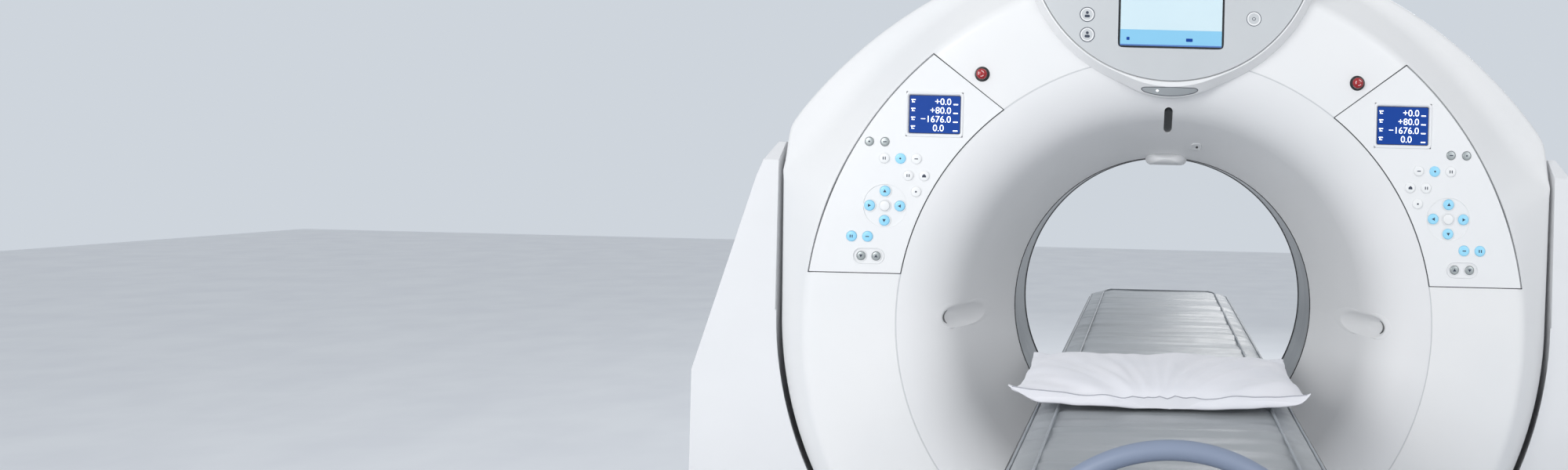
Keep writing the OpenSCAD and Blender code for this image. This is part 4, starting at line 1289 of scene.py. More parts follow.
@dataclass
class ControlPanel:
    """Keys, display and emergency button of one control panel."""

    side: int = 1
    face_y: float = -449.0
    display_at: tuple[float, float] = (542.0, 474.0)
    stop_at: tuple[float, float] = (434.0, 570.0)
    pad_at: tuple[float, float] = (652.0, 260.0)
    recess_at: tuple[float, float] = (686.5, 143.0)
    line_pitch: float = 20.4
    digit_size: float = 21.5
    stop_steps: int = 56
    keys: tuple[Key, ...] = (
        Key(581, 370, KeyKind.WHITE, Glyph.BAR), Key(618, 370, KeyKind.BLUE, Glyph.DOT),
        Key(655, 370, KeyKind.WHITE, Glyph.TWIN), Key(562, 331, KeyKind.WHITE, Glyph.HOUSE),
        Key(599, 331, KeyKind.WHITE, Glyph.TWIN), Key(580, 294, KeyKind.WHITE, Glyph.DOT),
        Key(652, 294, KeyKind.BLUE, Glyph.UP, "key_up"),
        Key(652, 226, KeyKind.BLUE, Glyph.DOWN, "key_down"),
        Key(617, 260, KeyKind.BLUE, Glyph.LEFT, "key_left"),
        Key(687, 260, KeyKind.BLUE, Glyph.RIGHT, "key_right"),
        Key(652, 260, KeyKind.WHITE, Glyph.BLANK, "key_centre"),
        Key(690, 188, KeyKind.BLUE, Glyph.BAR, "key_blue_1"),
        Key(727, 188, KeyKind.BLUE, Glyph.TWIN, "key_blue_2"),
        Key(655, 408, KeyKind.GREY, Glyph.BAR, "key_grey_1"),
        Key(691, 408, KeyKind.GREY, Glyph.DOT, "key_grey_2"),
        Key(669, 143, KeyKind.GREY, Glyph.UP, "key_grey_3"),
        Key(704, 143, KeyKind.GREY, Glyph.DOWN, "key_grey_4"),
    )

    @property
    def label(self) -> str:
        """Gives the panel's side as a word."""
        return "right" if self.side > 0 else "left"

    def glyph(self, mesh: Mesh, key: Key) -> None:
        """Adds a key's mark.

        Args:
            mesh: the piece that it is added to.
            key: the key.
        """
        y = self.face_y - key.rise - 0.25
        x, z = self.side * key.x, key.z
        arrows = {Glyph.UP: (0, 1), Glyph.DOWN: (0, -1), Glyph.LEFT: (-1, 0), Glyph.RIGHT: (1, 0)}
        house = ((-4.5, -3.5), (4.5, -3.5), (4.5, 0.5), (0, 4.5), (-4.5, 0.5))
        outlines = {
            Glyph.BAR: [rounded(x, z, 8.5, 2.2, 0.8, 2)],
            Glyph.DOT: [pill(x, z, 4.4, 4.2, steps=8)],
            Glyph.TWIN: [rounded(x + shift, z, 2.2, 7.0, 0.8, 2) for shift in (-2.4, 2.4)],
            Glyph.HOUSE: [[(x + u, z + v) for u, v in house]],
        }
        for glyph, (u, v) in arrows.items():
            tip, foot_x, foot_z = (x + 4 * u, z + 4 * v), x - 3 * u, z - 3 * v
            outlines[glyph] = [[tip, (foot_x - 4 * v, foot_z + 4 * u), (foot_x + 4 * v, foot_z - 4 * u)]]
        for line in outlines.get(key.glyph, []):
            mesh.slab(line, y, 0.6)

    def cap(self, mesh: Mesh, key: Key) -> None:
        """Adds a key's domed cap."""
        r, h = key.radius, key.rise
        mesh.lathe(
            [(0, -h - 0.1), (r * 0.55, -h), (r * 0.82, -h + 0.25), (r - 1.1, -h + 0.9), (r - 0.25, -h + 2.0),
             (r, -h + 3.0), (r, 5.0), (0, 5.0)],
            at_axis(self.side * key.x, self.face_y, key.z), steps=40,
        )

    def joint(self) -> None:
        """Builds dark cords in the joint round the panel, painted shadow of the gap."""
        cover = FrontCover()
        form, y = cover.form, self.face_y + 0.5
        corner = math.atan2(cover.panel_corner[1], cover.panel_corner[0])
        low = math.asin(cover.panel_low / form.face_edge(math.radians(7)))
        seam, edge = form.seam + 0.6, form.face_edge
        start = math.atan2(cover.panel_tip[1], cover.panel_tip[0])
        end = math.asin(cover.panel_low / seam)
        inner = [start + (end - start) * k / 40 for k in range(41)]
        outer = [corner + (low - corner) * k / 48 for k in range(49)]
        lines = {
            "inner": [Vector((seam * math.cos(a), y, seam * math.sin(a))) for a in inner],
            "outer": [Vector((edge(a) * math.cos(a), y, edge(a) * math.sin(a))) for a in outer],
        }
        lines["upper"] = [lines["inner"][0], lines["outer"][0]]
        lines["lower"] = [lines["inner"][-1], lines["outer"][-1]]
        for name, line in lines.items():
            mesh = Mesh(f"{self.label}_panel_joint_shadow_{name}")
            path = [Vector((self.side * p.x, p.y, p.z)) for p in line]
            outer = name == "outer"
            mesh.tube(path, 0.5 if outer else 1.15)
            # Both cords are painted shadow in the joint; the outer one takes the lamp rim's grey.
            finish = Finishes.RIM if outer else Finishes.JOINT_SHADOW
            mesh.piece(Body.GANTRY, finish, "black_plastic", weighted=False)

    def build_keys(self) -> None:
        """Builds all keys: those with travel ride their own bodies."""
        finishes = {
            KeyKind.BLUE: Finishes.BLUE_KEY, KeyKind.WHITE: Finishes.WHITE_KEY,
            KeyKind.GREY: Finishes.GREY_KEY,
        }
        fixed = [k for k in self.keys if self.side < 0 or not k.node]
        for kind in KeyKind:
            group = [k for k in fixed if k.kind is kind]
            if group:
                mesh = Mesh(f"{self.label}_{kind.value}_keys")
                for key in group:
                    self.cap(mesh, key)
                mesh.piece(Body.GANTRY, finishes[kind], "key_" + kind.value, ["fixed_panel_keys"])
        marks = Mesh(f"{self.label}_key_marks")
        for key in fixed:
            self.glyph(marks, key)
        marks.piece(Body.GANTRY, Finishes.INK, "black_plastic")
        for key in self.keys:
            if key in fixed:
                continue
            mesh = Mesh(key.node + "_cap")
            self.cap(mesh, key)
            mesh.piece(key.node, finishes[key.kind], "key_" + key.kind.value, [key.node])
            if key.glyph is not Glyph.BLANK:
                mark = Mesh(key.node + "_mark")
                self.glyph(mark, key)
                mark.piece(key.node, Finishes.INK, "black_plastic")

    def rims(self) -> None:
        """Builds the soft dark shadow gaps and rims round keys and key groups."""
        mesh = Mesh(f"{self.label}_key_rims")
        for key in self.keys:
            r = key.radius
            mesh.lathe(
                [(r + 0.25, 0.6), (r + 0.35, -0.15), (r + 1.5, -0.55), (r + 2.4, -0.1), (r + 2.4, 0.6)],
                at_axis(self.side * key.x, self.face_y, key.z), steps=40,
            )
        x, z = self.side * self.pad_at[0], self.pad_at[1]
        mesh.lathe(
            [(49.4, 1.6), (49.6, -0.1), (50.6, -0.5), (51.6, -0.1), (51.6, 0.6)],
            at_axis(x, self.face_y, z), steps=96,
        )
        mid, height = self.side * self.recess_at[0], self.recess_at[1]
        rows = [
            mesh.row(at_axis(u, self.face_y + y, v) for u, v in pill(mid, height, w, w - 36))
            for w, y in ((74, 0.6), (73.6, -0.6), (71.8, -1.3), (70.0, -0.6), (69.6, 0.6))
        ]
        mesh.join(rows, closed=True)
        mesh.piece(Body.GANTRY, Finishes.PANEL, "cover_white", smooth=60)

    def display(self) -> None:
        """Builds the blue display with its bezel, a black band of painted shadow round the glass, and its
        figures.
        """
        x, z = self.side * self.display_at[0], self.display_at[1]
        bezel = Mesh(f"{self.label}_display_bezel")
        rows = [
            bezel.row(at_axis(u, self.face_y + y, v) for u, v in rounded(x, z, w, h, r))
            for w, h, r, y in (
                (133.6, 105.6, 9, 0.4), (133.0, 105.0, 9, -0.9), (131.0, 103.0, 8.5, -2.0),
                (128.0, 99.6, 8, -2.4), (125.0, 95.6, 7, -2.0), (122.0, 91.8, 5, -0.4),
                (120.0, 89.6, 4, 2.0), (119.4, 89.0, 3, 4.0),
            )
        ]
        bezel.join(rows, closed=True)
        bezel.piece(Body.GANTRY, Finishes.PANEL, "cover_white", smooth=50)
        glass = Mesh(f"{self.label}_display_glass")
        glass.slab(rounded(x, z, 116.8, 86.4, 3), self.face_y + 2.7, 6.0)
        glass.piece(Body.GANTRY, Finishes.LCD, "lcd", ["panel_displays"])
        # A black band round the glass, set deeper than it: painted shadow inside the bezel's recess.
        edge = Mesh(f"{self.label}_display_recess_shadow")
        edge.slab(rounded(x, z, 119.8, 89.4, 3), self.face_y + 3.1, 5.0)
        edge.piece(Body.GANTRY, Finishes.BLACK, "black_plastic")
        for k, (text, end) in enumerate((("+0.0", 38), ("+80.0", 38), ("\u22121676.0", 38), ("0.0", 22))):
            self.figure(f"{self.label}_figure_{k + 1}", text, x + end, z + 22.8 - self.line_pitch * k)
        marks = Mesh(f"{self.label}_display_marks")
        for k in range(4):
            for u, v, width, height, r in (
                (-50, 2.5, 10, 2.4, 0.8), (-50, -3, 7, 1.8, 0.6), (-52, -0.4, 1.8, 5.0, 0.6),
                (48, -7, 11, 2.8, 0.6),
            ):
                line = rounded(x + u, z + 31 - self.line_pitch * k + v, width, height, r, 2)
                marks.slab(line, self.face_y + 2.5, 0.5)
        marks.piece(Body.GANTRY, Finishes.DIGIT, "screen")

    def figure(self, name: str, text: str, x: float, z: float) -> None:
        """Builds one row of figures, turned into a mesh before it is placed.

        Args:
            name: name of the piece.
            text: the figures.
            x: right end across, in millimetres.
            z: height of the base line, in millimetres.
        """
        curve = bpy.data.curves.new(name, "FONT")
        curve.body = text
        curve.size = self.digit_size * MM
        curve.align_x = "RIGHT"
        curve.extrude = 0.0003
        maker = bpy.data.objects.new(name + "_text", curve)
        bpy.context.scene.collection.objects.link(maker)
        flat = bpy.data.meshes.new_from_object(maker.evaluated_get(bpy.context.evaluated_depsgraph_get()))
        bpy.data.objects.remove(maker)
        mesh = Mesh(name)
        mesh.bm.from_mesh(flat)
        place = Matrix.Translation(at_axis(x, self.face_y + 2.3, z)) @ Matrix.Rotation(math.pi / 2, 4, "X")
        bmesh.ops.transform(mesh.bm, matrix=place, verts=mesh.bm.verts)
        mesh.piece(Body.GANTRY, Finishes.DIGIT, "screen", smooth=20)

    def stop(self) -> None:
        """Builds the emergency button and its collar."""
        x, z = self.side * self.stop_at[0], self.stop_at[1]
        collar = Mesh(f"{self.label}_stop_collar")
        collar.lathe(
            [(12.9, 1.0), (12.9, -4.2), (13.3, -4.9), (14.3, -5.0), (15.0, -4.2), (15.4, -0.8),
             (17.4, -0.4), (17.4, 1.0)],
            at_axis(x, self.face_y, z), steps=self.stop_steps,
        )
        collar.piece(Body.GANTRY, Finishes.BLACK, "black_plastic", ["emergency_collars"])
        body = Body.RIGHT_STOP if self.side > 0 else Body.LEFT_STOP
        dome = Mesh(f"{self.label}_stop_dome")
        dome.lathe(
            [(0, -17.0), (3.0, -16.9), (6.0, -16.3), (9.0, -14.9), (11.2, -12.6), (12.1, -10.2),
             (12.3, -8.5), (12.1, -6.6), (11.0, -5.6), (11.0, 20.0), (0, 20.0)],
            at_axis(x, self.face_y, z), steps=self.stop_steps,
        )
        dome.piece(body, Finishes.RED, "button_red", [f"{self.label}_emergency_button"], smooth=50)
        mark = Mesh(f"{self.label}_stop_mark")
        for start in (20, 140, 260):
            angles = [math.radians(start + 10 * k) for k in range(8)]
            mark.join([
                mark.row(at_axis(x + r * math.cos(a), self.face_y + y, z + r * math.sin(a)) for a in angles)
                for r, y in ((7.4, -16.05), (5.4, -16.75))
            ])
        mark.piece(body, Finishes.MARK, "button_red", thick=0.2, outward=FRONT)

    def build(self) -> None:
        """Builds the panel's parts."""
        self.joint()
        self.build_keys()
        self.rims()
        self.display()
        self.stop()


@dataclass(frozen=True)
class Swelling:
    """A short cloth simulation that swells a closed skin; no point moves further than the cap."""

    cap: float
    pressure: float = 4.0
    quality: int = 4
    mass: float = 0.25
    stretch: float = 18.0
    bend: float = 0.25
    frames: int = 20

    def apply(self, obj: bpy.types.Object) -> None:
        """Lets the piece swell, and keeps the result in its mesh."""
        start = [v.co.copy() for v in obj.data.vertices]
        cloth = obj.modifiers.new("cloth", "CLOTH")
        cloth.settings.quality = self.quality
        cloth.settings.mass = self.mass
        cloth.settings.tension_stiffness = self.stretch
        cloth.settings.compression_stiffness = self.stretch
        cloth.settings.bending_stiffness = self.bend
        cloth.settings.use_pressure = True
        cloth.settings.uniform_pressure_force = self.pressure
        cloth.settings.effector_weights.gravity = 0.0
        cloth.point_cache.frame_start = 1
        cloth.point_cache.frame_end = self.frames
        scene = bpy.context.scene
        for step in range(1, self.frames + 1):
            scene.frame_set(step)
        shaped = obj.evaluated_get(bpy.context.evaluated_depsgraph_get()).to_mesh()
        moved = [v.co.copy() for v in shaped.vertices]
        obj.modifiers.clear()
        scene.frame_set(1)
        for v, a, b in zip(obj.data.vertices, start, moved):
            way = b - a
            if way.length > self.cap * MM:
                way *= self.cap * MM / way.length
            v.co = a + way


def make_smooth(obj: bpy.types.Object) -> None:
    """Shades a soft piece smooth and divides it once."""
    for face in obj.data.polygons:
        face.use_smooth = True
    finer = obj.modifiers.new("finer", "SUBSURF")
    finer.levels = 1
    finer.render_levels = 1


def wrinkle(x: float, y: float, seed: float) -> float:
    """Gives a smooth random height between -1 and 1 at a place."""
    return noise.noise(Vector((x, y, seed)))


@dataclass
class Pad:
    """Channelled pad of the couch, with its piping."""

    half_w: float = 242.0
    near: float = -1487.0
    far: float = 937.0
    base_z: float = -104.0
    top_z: float = -80.6
    border: float = 44.0
    corner: float = 110.0
    spacing: float = 11.0
    groove_depth: float = 2.6
    groove_half: float = 7.0
    fold_height: float = 5.0
    crinkle_height: float = 4.0

    def half_at(self, y: float) -> float:
        """Gives half the pad's width at a place along it; the far corners are round."""
        over = max(0.0, y - (self.far - self.corner))
        return self.half_w - self.corner + math.sqrt(max(self.corner**2 - over**2, 0.0))

    def height(self, u: float, y: float) -> tuple[float, float]:
        """Gives lower and upper z of the start form: a flat top with falling borders."""
        edge = min((1 - abs(u)) * self.half_w, y - self.near + 6, self.far - y)
        fall = max(0.0, 1 - edge / self.border)
        return self.base_z + 1.0, self.top_z - 4.5 - 8.0 * fall**1.6 - 1.0 * (edge < 4)

    def skin(self) -> Mesh:
        """Builds the start form: two sheets over the pad's plan, joined round the edge."""
        mesh = Mesh("couch_pad")
        across = round(2 * self.half_w / self.spacing)
        along = round((self.far - self.near) / self.spacing)
        layers = []
        for layer in (0, 1):
            rows = []
            for j in range(along + 1):
                y = self.near + (self.far - self.near) * j / along
                width = self.half_at(y)
                rows.append(mesh.row(
                    at_axis(x, y, self.height(x / width, y)[layer])
                    for x in (width * (-1 + 2 * i / across) for i in range(across + 1))
                ))
            layers.append(rows)
        low, high = layers
        mesh.join(low)
        mesh.join(high)
        ring = [(0, i) for i in range(across)] + [(j, across) for j in range(along)]
        ring += [(along, i) for i in range(across, 0, -1)] + [(j, 0) for j in range(along, 0, -1)]
        for (j, i), (m, n) in zip(ring, ring[1:] + ring[:1]):
            mesh.bm.faces.new((low[j][i], low[m][n], high[m][n], high[j][i]))
        return mesh

    def pad(self) -> None:
        """Builds the pad, lets it swell, and lays its wrinkles."""
        pad = self.skin().piece(Body.TOP, Finishes.VINYL, "pad_vinyl", ["mattress"], weighted=False)
        Swelling(3.0).apply(pad)
        rest = self.base_z + 0.5
        for v in pad.data.vertices:
            x, y, z = v.co.x / MM, v.co.y / MM, (v.co.z - AXIS_H) / MM
            if z > (self.base_z + self.top_z) / 2:
                edge = (1 - abs(x) / self.half_at(y)) * self.half_w
                tight = min(1.0, max(0.0, 1 - edge / 52))
                fold = wrinkle(x * 0.0022, y * 0.021, 3.1)
                fold += 0.5 * wrinkle(x * 0.006, y * 0.052, 7.7)
                crinkle = wrinkle(x * 0.035, y * 0.055, 1.3)
                lift = self.fold_height * fold * (1 - 0.6 * tight)
                z += lift + self.crinkle_height * crinkle * tight - 1.0
                groove = abs(edge - self.border)
                z -= self.groove_depth * math.exp(-((groove / self.groove_half) ** 2))
                v.co.z = AXIS_H + min(z, self.top_z + 1.2) * MM
            else:
                v.co.z = AXIS_H + max(z, rest) * MM
        make_smooth(pad)

    def welts(self) -> None:
        """Builds the piped seams round the pad's top and round its lower edge."""
        for name, inset, z, r in (
            ("pad_top_welt", self.border, self.top_z - 2.6, 2.6), ("pad_edge_welt", 1.0, -96.0, 2.4),
        ):
            mesh = Mesh(name)
            path = []
            for k in range(241):
                y = self.near + inset * 0.9 + (self.far - self.near - 1.9 * inset) * k / 240
                path.append(Vector((self.half_at(y) - inset, y, z)))
            path += [Vector((-p.x, p.y, p.z)) for p in reversed(path)]
            mesh.tube(path, r, closed=True, wave=0.5)
            mesh.piece(Body.TOP, Finishes.WELT, "pad_vinyl", weighted=False)

    def build(self) -> None:
        """Builds the pad and its piping."""
        self.pad()
        self.welts()


@dataclass
class Pillow:
    """Pillow with pointed corners, and with a hem at the front that lies on the pad."""

    centre: tuple[float, float] = (-12.0, -766.0)
    half: tuple[float, float] = (279.0, 189.0)
    grid: tuple[int, int] = (78, 50)
    hem_rows: int = 4
    hem_drop: float = 25.0
    edge_z: float = -58.0
    rise: float = 43.0
    sag: float = 34.0
    pad_z: float = -79.0
    limits: tuple[float, float, float] = (293.0, 195.0, 2.4)

    def place(self, u: float, v: float, top: bool) -> Vector:
        """Gives a point of the upper or lower panel at a place of -1 to 1 each way."""
        x = self.centre[0] + u * self.half[0] * (1 - 0.022 * (1 - v * v) * abs(u))
        y = v * self.half[1] * (1 - 0.03 * (1 - u * u) * (v > 0))
        front, corner = max(0.0, -v) ** 6, abs(u) ** 5
        edge = self.edge_z + 4.0 * corner * (1 + 2.2 * front) + 1.0 * front * (1 - corner)
        lens = max((1 - abs(u) ** 4.5) * (1 - abs(v) ** 2.8), 0.0) ** 0.52
        z = edge + self.rise * lens if top else max(edge - self.sag * lens ** 0.7, self.pad_z)
        return at_axis(x, self.centre[1] + y, z)

    def skin(self) -> Mesh:
        """Builds the start form: two panels with one border, and the hem under the front edge."""
        mesh = Mesh("pillow_case")
        nx, ny = self.grid
        high = [
            mesh.row(self.place(-1 + 2 * i / nx, -1 + 2 * j / ny, True) for i in range(nx + 1))
            for j in range(ny + 1)
        ]
        low = [high[0]]
        for j, line in enumerate(high[1:-1], 1):
            inner = mesh.row(self.place(-1 + 2 * i / nx, -1 + 2 * j / ny, False) for i in range(1, nx))
            low.append([line[0], *inner, line[-1]])
        low.append(high[-1])
        mesh.join(low)
        mesh.join(high)
        hem = [high[0]]
        for k in range(1, self.hem_rows + 1):
            places = []
            for i, v in enumerate(high[0]):
                u = -1 + 2 * i / nx
                full = (1 - u**26) if u > 0 else min(1.0, (1 + u) / 0.2) ** 0.8
                drop = self.hem_drop * full * k / self.hem_rows
                inward = 5.0 - 7.0 * math.sin(math.pi * (k - 1) / self.hem_rows / 1.2)
                places.append(v.co + Vector((0, inward * MM, -drop * MM)))
            hem.append(mesh.row(places))
        mesh.join(hem + [low[0]])
        return mesh

    def fold(self, v: bpy.types.MeshVertex) -> None:
        """Moves a vertex for the fan of folds, the loose edges and the wavy hem."""
        (cx, cy), (hx, hy) = self.centre, self.half
        x, y, z = v.co.x / MM - cx, v.co.y / MM - cy, (v.co.z - AXIS_H) / MM
        u, w = x / hx, y / hy
        if z > -62 and w > -0.97:
            fan = math.atan2(x, y + 1.35 * hy)
            far = math.hypot(x, y + 1.35 * hy) / (2 * hy)
            z += 7.0 * wrinkle(fan * 4.2, far * 1.2, 4.0) * min(1.0, 1.4 - abs(u))
            z += 5.0 * wrinkle(fan * 11.0, far * 2.0, 9.0) * (1 - min(1.0, abs(w)) ** 4)
        z += 3.0 * max(abs(u), abs(w)) ** 5 * wrinkle(x * 0.024, y * 0.024, 5.0)
        if w < -0.97:
            y += 3.0 * wrinkle(x * 0.02, 0.0, 8.0)
        side, end, top = self.limits
        v.co.z = AXIS_H + max(min(z, top), self.pad_z - 0.6) * MM
        v.co.x = max(min(x + cx, side), -side) * MM
        v.co.y = (cy + max(min(y, end), -end)) * MM

    def build(self) -> None:
        """Builds the pillow, lets it swell, folds it, and lays a darker cord along the hem's crease as
        painted shadow under the fold.
        """
        nx, ny = self.grid
        pillow = self.skin().piece(Body.TOP, Finishes.COTTON, "pillow_cotton", ["pillow"], weighted=False)
        Swelling(9.0).apply(pillow)
        first = (nx + 1) * (ny + 1) + (nx - 1) * (ny - 1)
        for v in pillow.data.vertices[first : first + nx + 1]:
            v.co += Vector((0, 2.2 * MM, 1.6 * MM))
        for v in pillow.data.vertices:
            self.fold(v)
        make_smooth(pillow)
        # A thin darker cord along the crease: painted shadow under the hem's folded edge.
        crease = Mesh("pillow_hem_crease_shadow")
        line = [v.co - at_axis(0, 0.2, 0.6) for v in pillow.data.vertices[1:nx]]
        crease.tube([p / MM for p in line], 0.9)
        crease.piece(Body.TOP, Finishes.HEM_CREASE_SHADOW, "pillow_cotton", weighted=False)


@dataclass
class Handle:
    """Hoop handle at the near end of the couch top."""

    hoop_r: float = 215.0
    tube_r: float = 13.0
    y: float = -1514.0
    low: float = -209.0

    def build(self) -> None:
        """Builds the hoop, its cross bar and the plate to the couch top."""
        mesh = Mesh("hoop_handle")
        path = [
            Vector((self.hoop_r * math.cos(a), self.y, self.low + self.hoop_r * math.sin(a)))
            for a in (math.pi * k / 64 for k in range(65))
        ]
        rows = []
        for k, p in enumerate(path):
            out = Vector((math.cos(math.pi * k / 64), 0, math.sin(math.pi * k / 64)))
            rows.append(mesh.row(
                at_axis(*(p + out * (self.tube_r * math.cos(t)) + Vector((0, self.tube_r * math.sin(t), 0))))
                for t in (math.tau * n / 24 for n in range(24))
            ))
        mesh.join(rows, closed=True)
        mesh.block(at_axis(-235, -1527, -218), at_axis(235, -1500.5, -186), 0.009, 4)
        mesh.block(at_axis(-120, -1511, -190), at_axis(120, -1500, -107), 0.004, 3)
        mesh.piece(Body.TOP, Finishes.HANDLE, "handle_blue", ["end_handle"])
        grip = Mesh("handle_screws")
        head = [(0, -3.4), (3.2, -3.2), (4.6, -2.0), (4.8, 0.5), (0, 0.5)]
        for x in (-90, 90):
            for z in (-130, -165):
                grip.lathe(head, at_axis(x, -1511, z), steps=24)
        grip.piece(Body.TOP, Finishes.BEARING, "bearing_steel")


@dataclass
class SoftenedCopy:
    """Copy of a CAD node with softened edges, which stands for that node."""

    node: str
    body: Body
    finish: Finish
    slot: str
    round_mm: float
    segments: int = 2
    flat_deg: float = 0.6
    sharp_deg: float = 35.0

    def build(self) -> None:
        """Builds the copy: merged, cleared of flat edges, and bevelled."""
        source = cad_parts[self.node]
        mesh = Mesh(self.node + "_softened")
        mesh.bm.from_mesh(source.data)
        bmesh.ops.transform(mesh.bm, matrix=source.matrix_world, verts=mesh.bm.verts)
        bmesh.ops.remove_doubles(mesh.bm, verts=mesh.bm.verts, dist=2e-5)
        bmesh.ops.dissolve_limit(
            mesh.bm, angle_limit=math.radians(self.flat_deg), use_dissolve_boundaries=False,
            verts=mesh.bm.verts, edges=mesh.bm.edges, delimit={"NORMAL"},
        )
        obj = mesh.piece(self.body, self.finish, self.slot, [self.node], weighted=False)
        bevel = obj.modifiers.new("soft_edges", "BEVEL")
        bevel.width = self.round_mm * MM
        bevel.segments = self.segments
        bevel.limit_method = "ANGLE"
        bevel.angle_limit = math.radians(self.sharp_deg)
        bevel.use_clamp_overlap = True
        bevel.harden_normals = True


@dataclass
class Wardrobe:
    """Gives each CAD node that is shown its finish."""

    finishes: dict[str, Finish] = field(
        default_factory=lambda: {
            name: finish
            for finish, names in (
                (Finishes.STEEL, "base_frame couch_base_frame tilt_frame drive_magnet_ring carriage_frame"),
                (Finishes.STAND, "left_stand_cover right_stand_cover lower_stand_cover docking_cover"),
                (Finishes.STAND, "couch_base_cover couch_mid_cover couch_upper_cover"),
                (Finishes.COVER, "outer_shell front_cover rear_cover display_pod bore_sensor_housing"),
                (Finishes.BORE, "front_bore_ring rear_bore_ring"),
                (Finishes.BEARING, "tilt_bearings bearing_outer_race bearing_inner_race"),
                (Finishes.BLACK, "slip_ring_brushes laser_windows emergency_collars"),
                (Finishes.PANEL, "right_control_panel left_control_panel"),
                (Finishes.HOUSING, "xray_tube collimator rotor_power_units detector_arc"),
                (Finishes.ALUMINIUM, "rotor_drum lift_column_mid lift_column_inner"),
                (Finishes.RED, "left_emergency_button right_emergency_button"),
                (Finishes.FILM, "scan_window"), (Finishes.COPPER, "drive_stator"),
                (Finishes.SILVER, "display_plate"), (Finishes.DARK_GLASS, "touch_screen"),
                (Finishes.LAMP, "status_lamp"), (Finishes.LCD, "panel_displays"),
                (Finishes.BLUE_KEY, "fixed_panel_keys"), (Finishes.BRASS, "slip_ring"),
                (Finishes.WHITE_KEY, "key_centre"), (Finishes.CARBON, "couch_top"),
                (Finishes.VINYL, "mattress"), (Finishes.HANDLE, "end_handle"),
                (Finishes.COTTON, "pillow"),
            )
            for name in names.split()
        }
    )

    def dress(self) -> None:
        """Puts the finish on every CAD node."""
        for name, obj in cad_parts.items():
            finish = self.finishes.get(name)
            if finish is None:
                finish = Finishes.GREY_KEY if "grey" in name else Finishes.BLUE_KEY
            obj.data.materials.clear()
            obj.data.materials.append(finish.build())
        LOG.info("dressed %d CAD nodes", len(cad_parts))


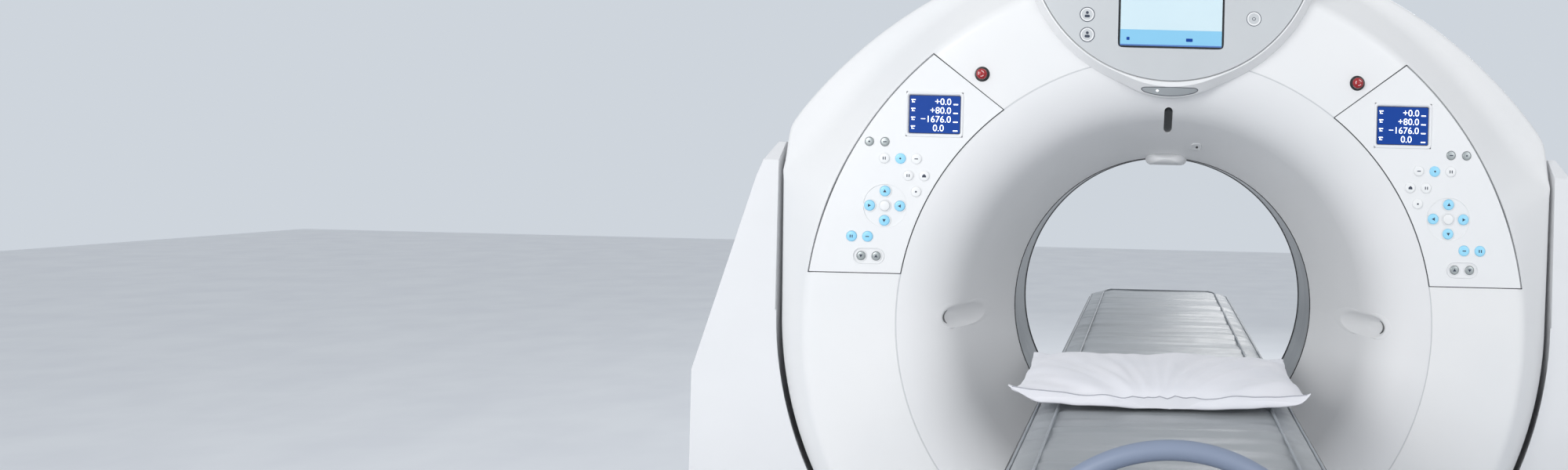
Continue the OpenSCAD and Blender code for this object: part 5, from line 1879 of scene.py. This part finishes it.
@dataclass
class Studio:
    """Camera, lamps, floor and backdrop."""

    lens_px: float = 1300.0
    vanishing_px: tuple[float, float] = (1470.0, 213.0)
    frame_px: tuple[float, float] = (2000.0, 600.0)
    camera_at: tuple[float, float, float] = (-35.0, -2807.0, 365.0)
    roll_deg: float = -1.4
    sensor_mm: float = 36.0
    sky: float = 0.62
    seen_sky: float = 0.3

    def camera(self) -> None:
        """Places the camera as the photograph was taken."""
        data = bpy.data.cameras.new("photo_camera")
        camera = bpy.data.objects.new("photo_camera", data)
        bpy.context.scene.collection.objects.link(camera)
        data.sensor_fit = "HORIZONTAL"
        data.sensor_width = self.sensor_mm
        width, height = self.frame_px
        data.lens = self.lens_px * self.sensor_mm / width
        data.shift_x = (width / 2 - self.vanishing_px[0]) / width
        data.shift_y = (self.vanishing_px[1] - height / 2) / width
        data.clip_start = 0.02
        data.clip_end = 60.0
        camera.matrix_world = (
            Matrix.Translation(at_axis(*self.camera_at))
            @ Matrix.Rotation(math.radians(self.roll_deg), 4, "Y")
            @ Matrix.Rotation(math.radians(90), 4, "X")
        )
        bpy.context.scene.camera = camera

    def lamp(self, name: str, at: Vector, aim: Vector, size: float, watts: float) -> None:
        """Adds a square soft lamp.

        Args:
            name: name of the lamp.
            at: its place.
            aim: the point that it faces.
            size: its side, in metres.
            watts: its power.
        """
        data = bpy.data.lights.new(name, "AREA")
        data.size = size
        data.energy = watts
        lamp = bpy.data.objects.new(name, data)
        bpy.context.scene.collection.objects.link(lamp)
        lamp.location = at
        lamp.rotation_euler = (aim - at).to_track_quat("-Z", "Y").to_euler()

    def world(self) -> None:
        """Lights the scene evenly from all round, pale where the camera sees it."""
        world = bpy.data.worlds.new("studio")
        bpy.context.scene.world = world
        world.use_nodes = True
        world.node_tree.nodes.clear()
        t = Tree(world.node_tree)
        path = t.add("LightPath")
        seen = t.maths("MAXIMUM", path.outputs["Is Camera Ray"], path.outputs["Is Glossy Ray"])
        seen = t.maths("MAXIMUM", seen, path.outputs["Is Transmission Ray"])
        back = t.add("Background", Color=t.mix(seen, (0.86, 0.89, 0.93), srgb(214, 221, 229)))
        strength = t.maths("MULTIPLY_ADD", seen, self.seen_sky)
        strength.node.inputs[2].default_value = self.sky
        t.set(back, "Strength", strength)
        out = t.add("OutputWorld")
        t.set(out, "Surface", back.outputs[0])

    def floor(self) -> None:
        """Adds the pale floor."""
        bm = bmesh.new()
        bmesh.ops.create_grid(bm, x_segments=1, y_segments=1, size=14.0)
        data = bpy.data.meshes.new("floor")
        bm.to_mesh(data)
        bm.free()
        floor = bpy.data.objects.new("floor", data)
        bpy.context.scene.collection.objects.link(floor)
        floor.location.z = -0.0005
        pale = Finish(
            "floor_pale", srgb(226, 229, 233), srgb(220, 223, 228), 0.6, 0.1, grain_scale=60.0
        ).build()
        t = Tree(pale.node_tree)
        shader = next(n for n in pale.node_tree.nodes if n.type == "BSDF_PRINCIPLED")
        seen = t.add("LightPath").outputs["Is Camera Ray"]
        t.set(shader, "Emission Color", srgb(214, 221, 229))
        t.set(shader, "Emission Strength", t.maths("MULTIPLY", seen, 0.1))
        data.materials.append(pale)

    def build(self) -> None:
        """Builds camera, lamps, floor and world."""
        scene = bpy.context.scene
        scene.view_settings.view_transform = "Standard"
        self.camera()
        self.world()
        self.floor()
        aim = Vector((0.0, -0.4, 1.0))
        for name, place, size, watts in (
            ("key_lamp", (-3.2, -5.2, 2.7), 2.4, 150.0), ("fill_lamp", (3.2, -5.2, 2.6), 2.6, 60.0),
            ("top_lamp", (0.0, -1.6, 5.4), 3.4, 10.0), ("back_lamp", (1.5, 4.2, 3.4), 3.0, 70.0),
        ):
            self.lamp(name, Vector(place), aim, size, watts)


def main() -> None:
    """Builds the studio and dresses the scanner."""
    logging.basicConfig(level=logging.INFO, format="%(message)s")
    Studio().build()
    Wardrobe().dress()
    form = BodyForm()
    FrontCover(form).build()
    SeamGasket(form).build()
    RearTrim(form).build()
    DisplayPod(form).build()
    LightWindows(form).build()
    for side in (1, -1):
        ControlPanel(side).build()
    Pad().build()
    Pillow().build()
    Handle().build()
    for node, body, finish, width in (
        ("right_stand_cover", Body.STAND, Finishes.STAND, 3.4),
        ("left_stand_cover", Body.STAND, Finishes.STAND, 3.4),
        ("lower_stand_cover", Body.STAND, Finishes.STAND, 3.4),
        ("docking_cover", Body.STAND, Finishes.STAND, 3.0),
        ("couch_base_cover", Body.STAND, Finishes.STAND, 2.2),
        ("couch_mid_cover", Body.MIDDLE, Finishes.STAND, 2.2),
        ("couch_upper_cover", Body.LIFT, Finishes.STAND, 2.2),
        ("outer_shell", Body.GANTRY, Finishes.COVER, 2.0),
        ("rear_cover", Body.GANTRY, Finishes.COVER, 3.4),
    ):
        SoftenedCopy(node, body, finish, "cover_white", width).build()
    SoftenedCopy("couch_top", Body.TOP, Finishes.CARBON, "carbon", 2.0).build()


if __name__ == "__main__":
    main()
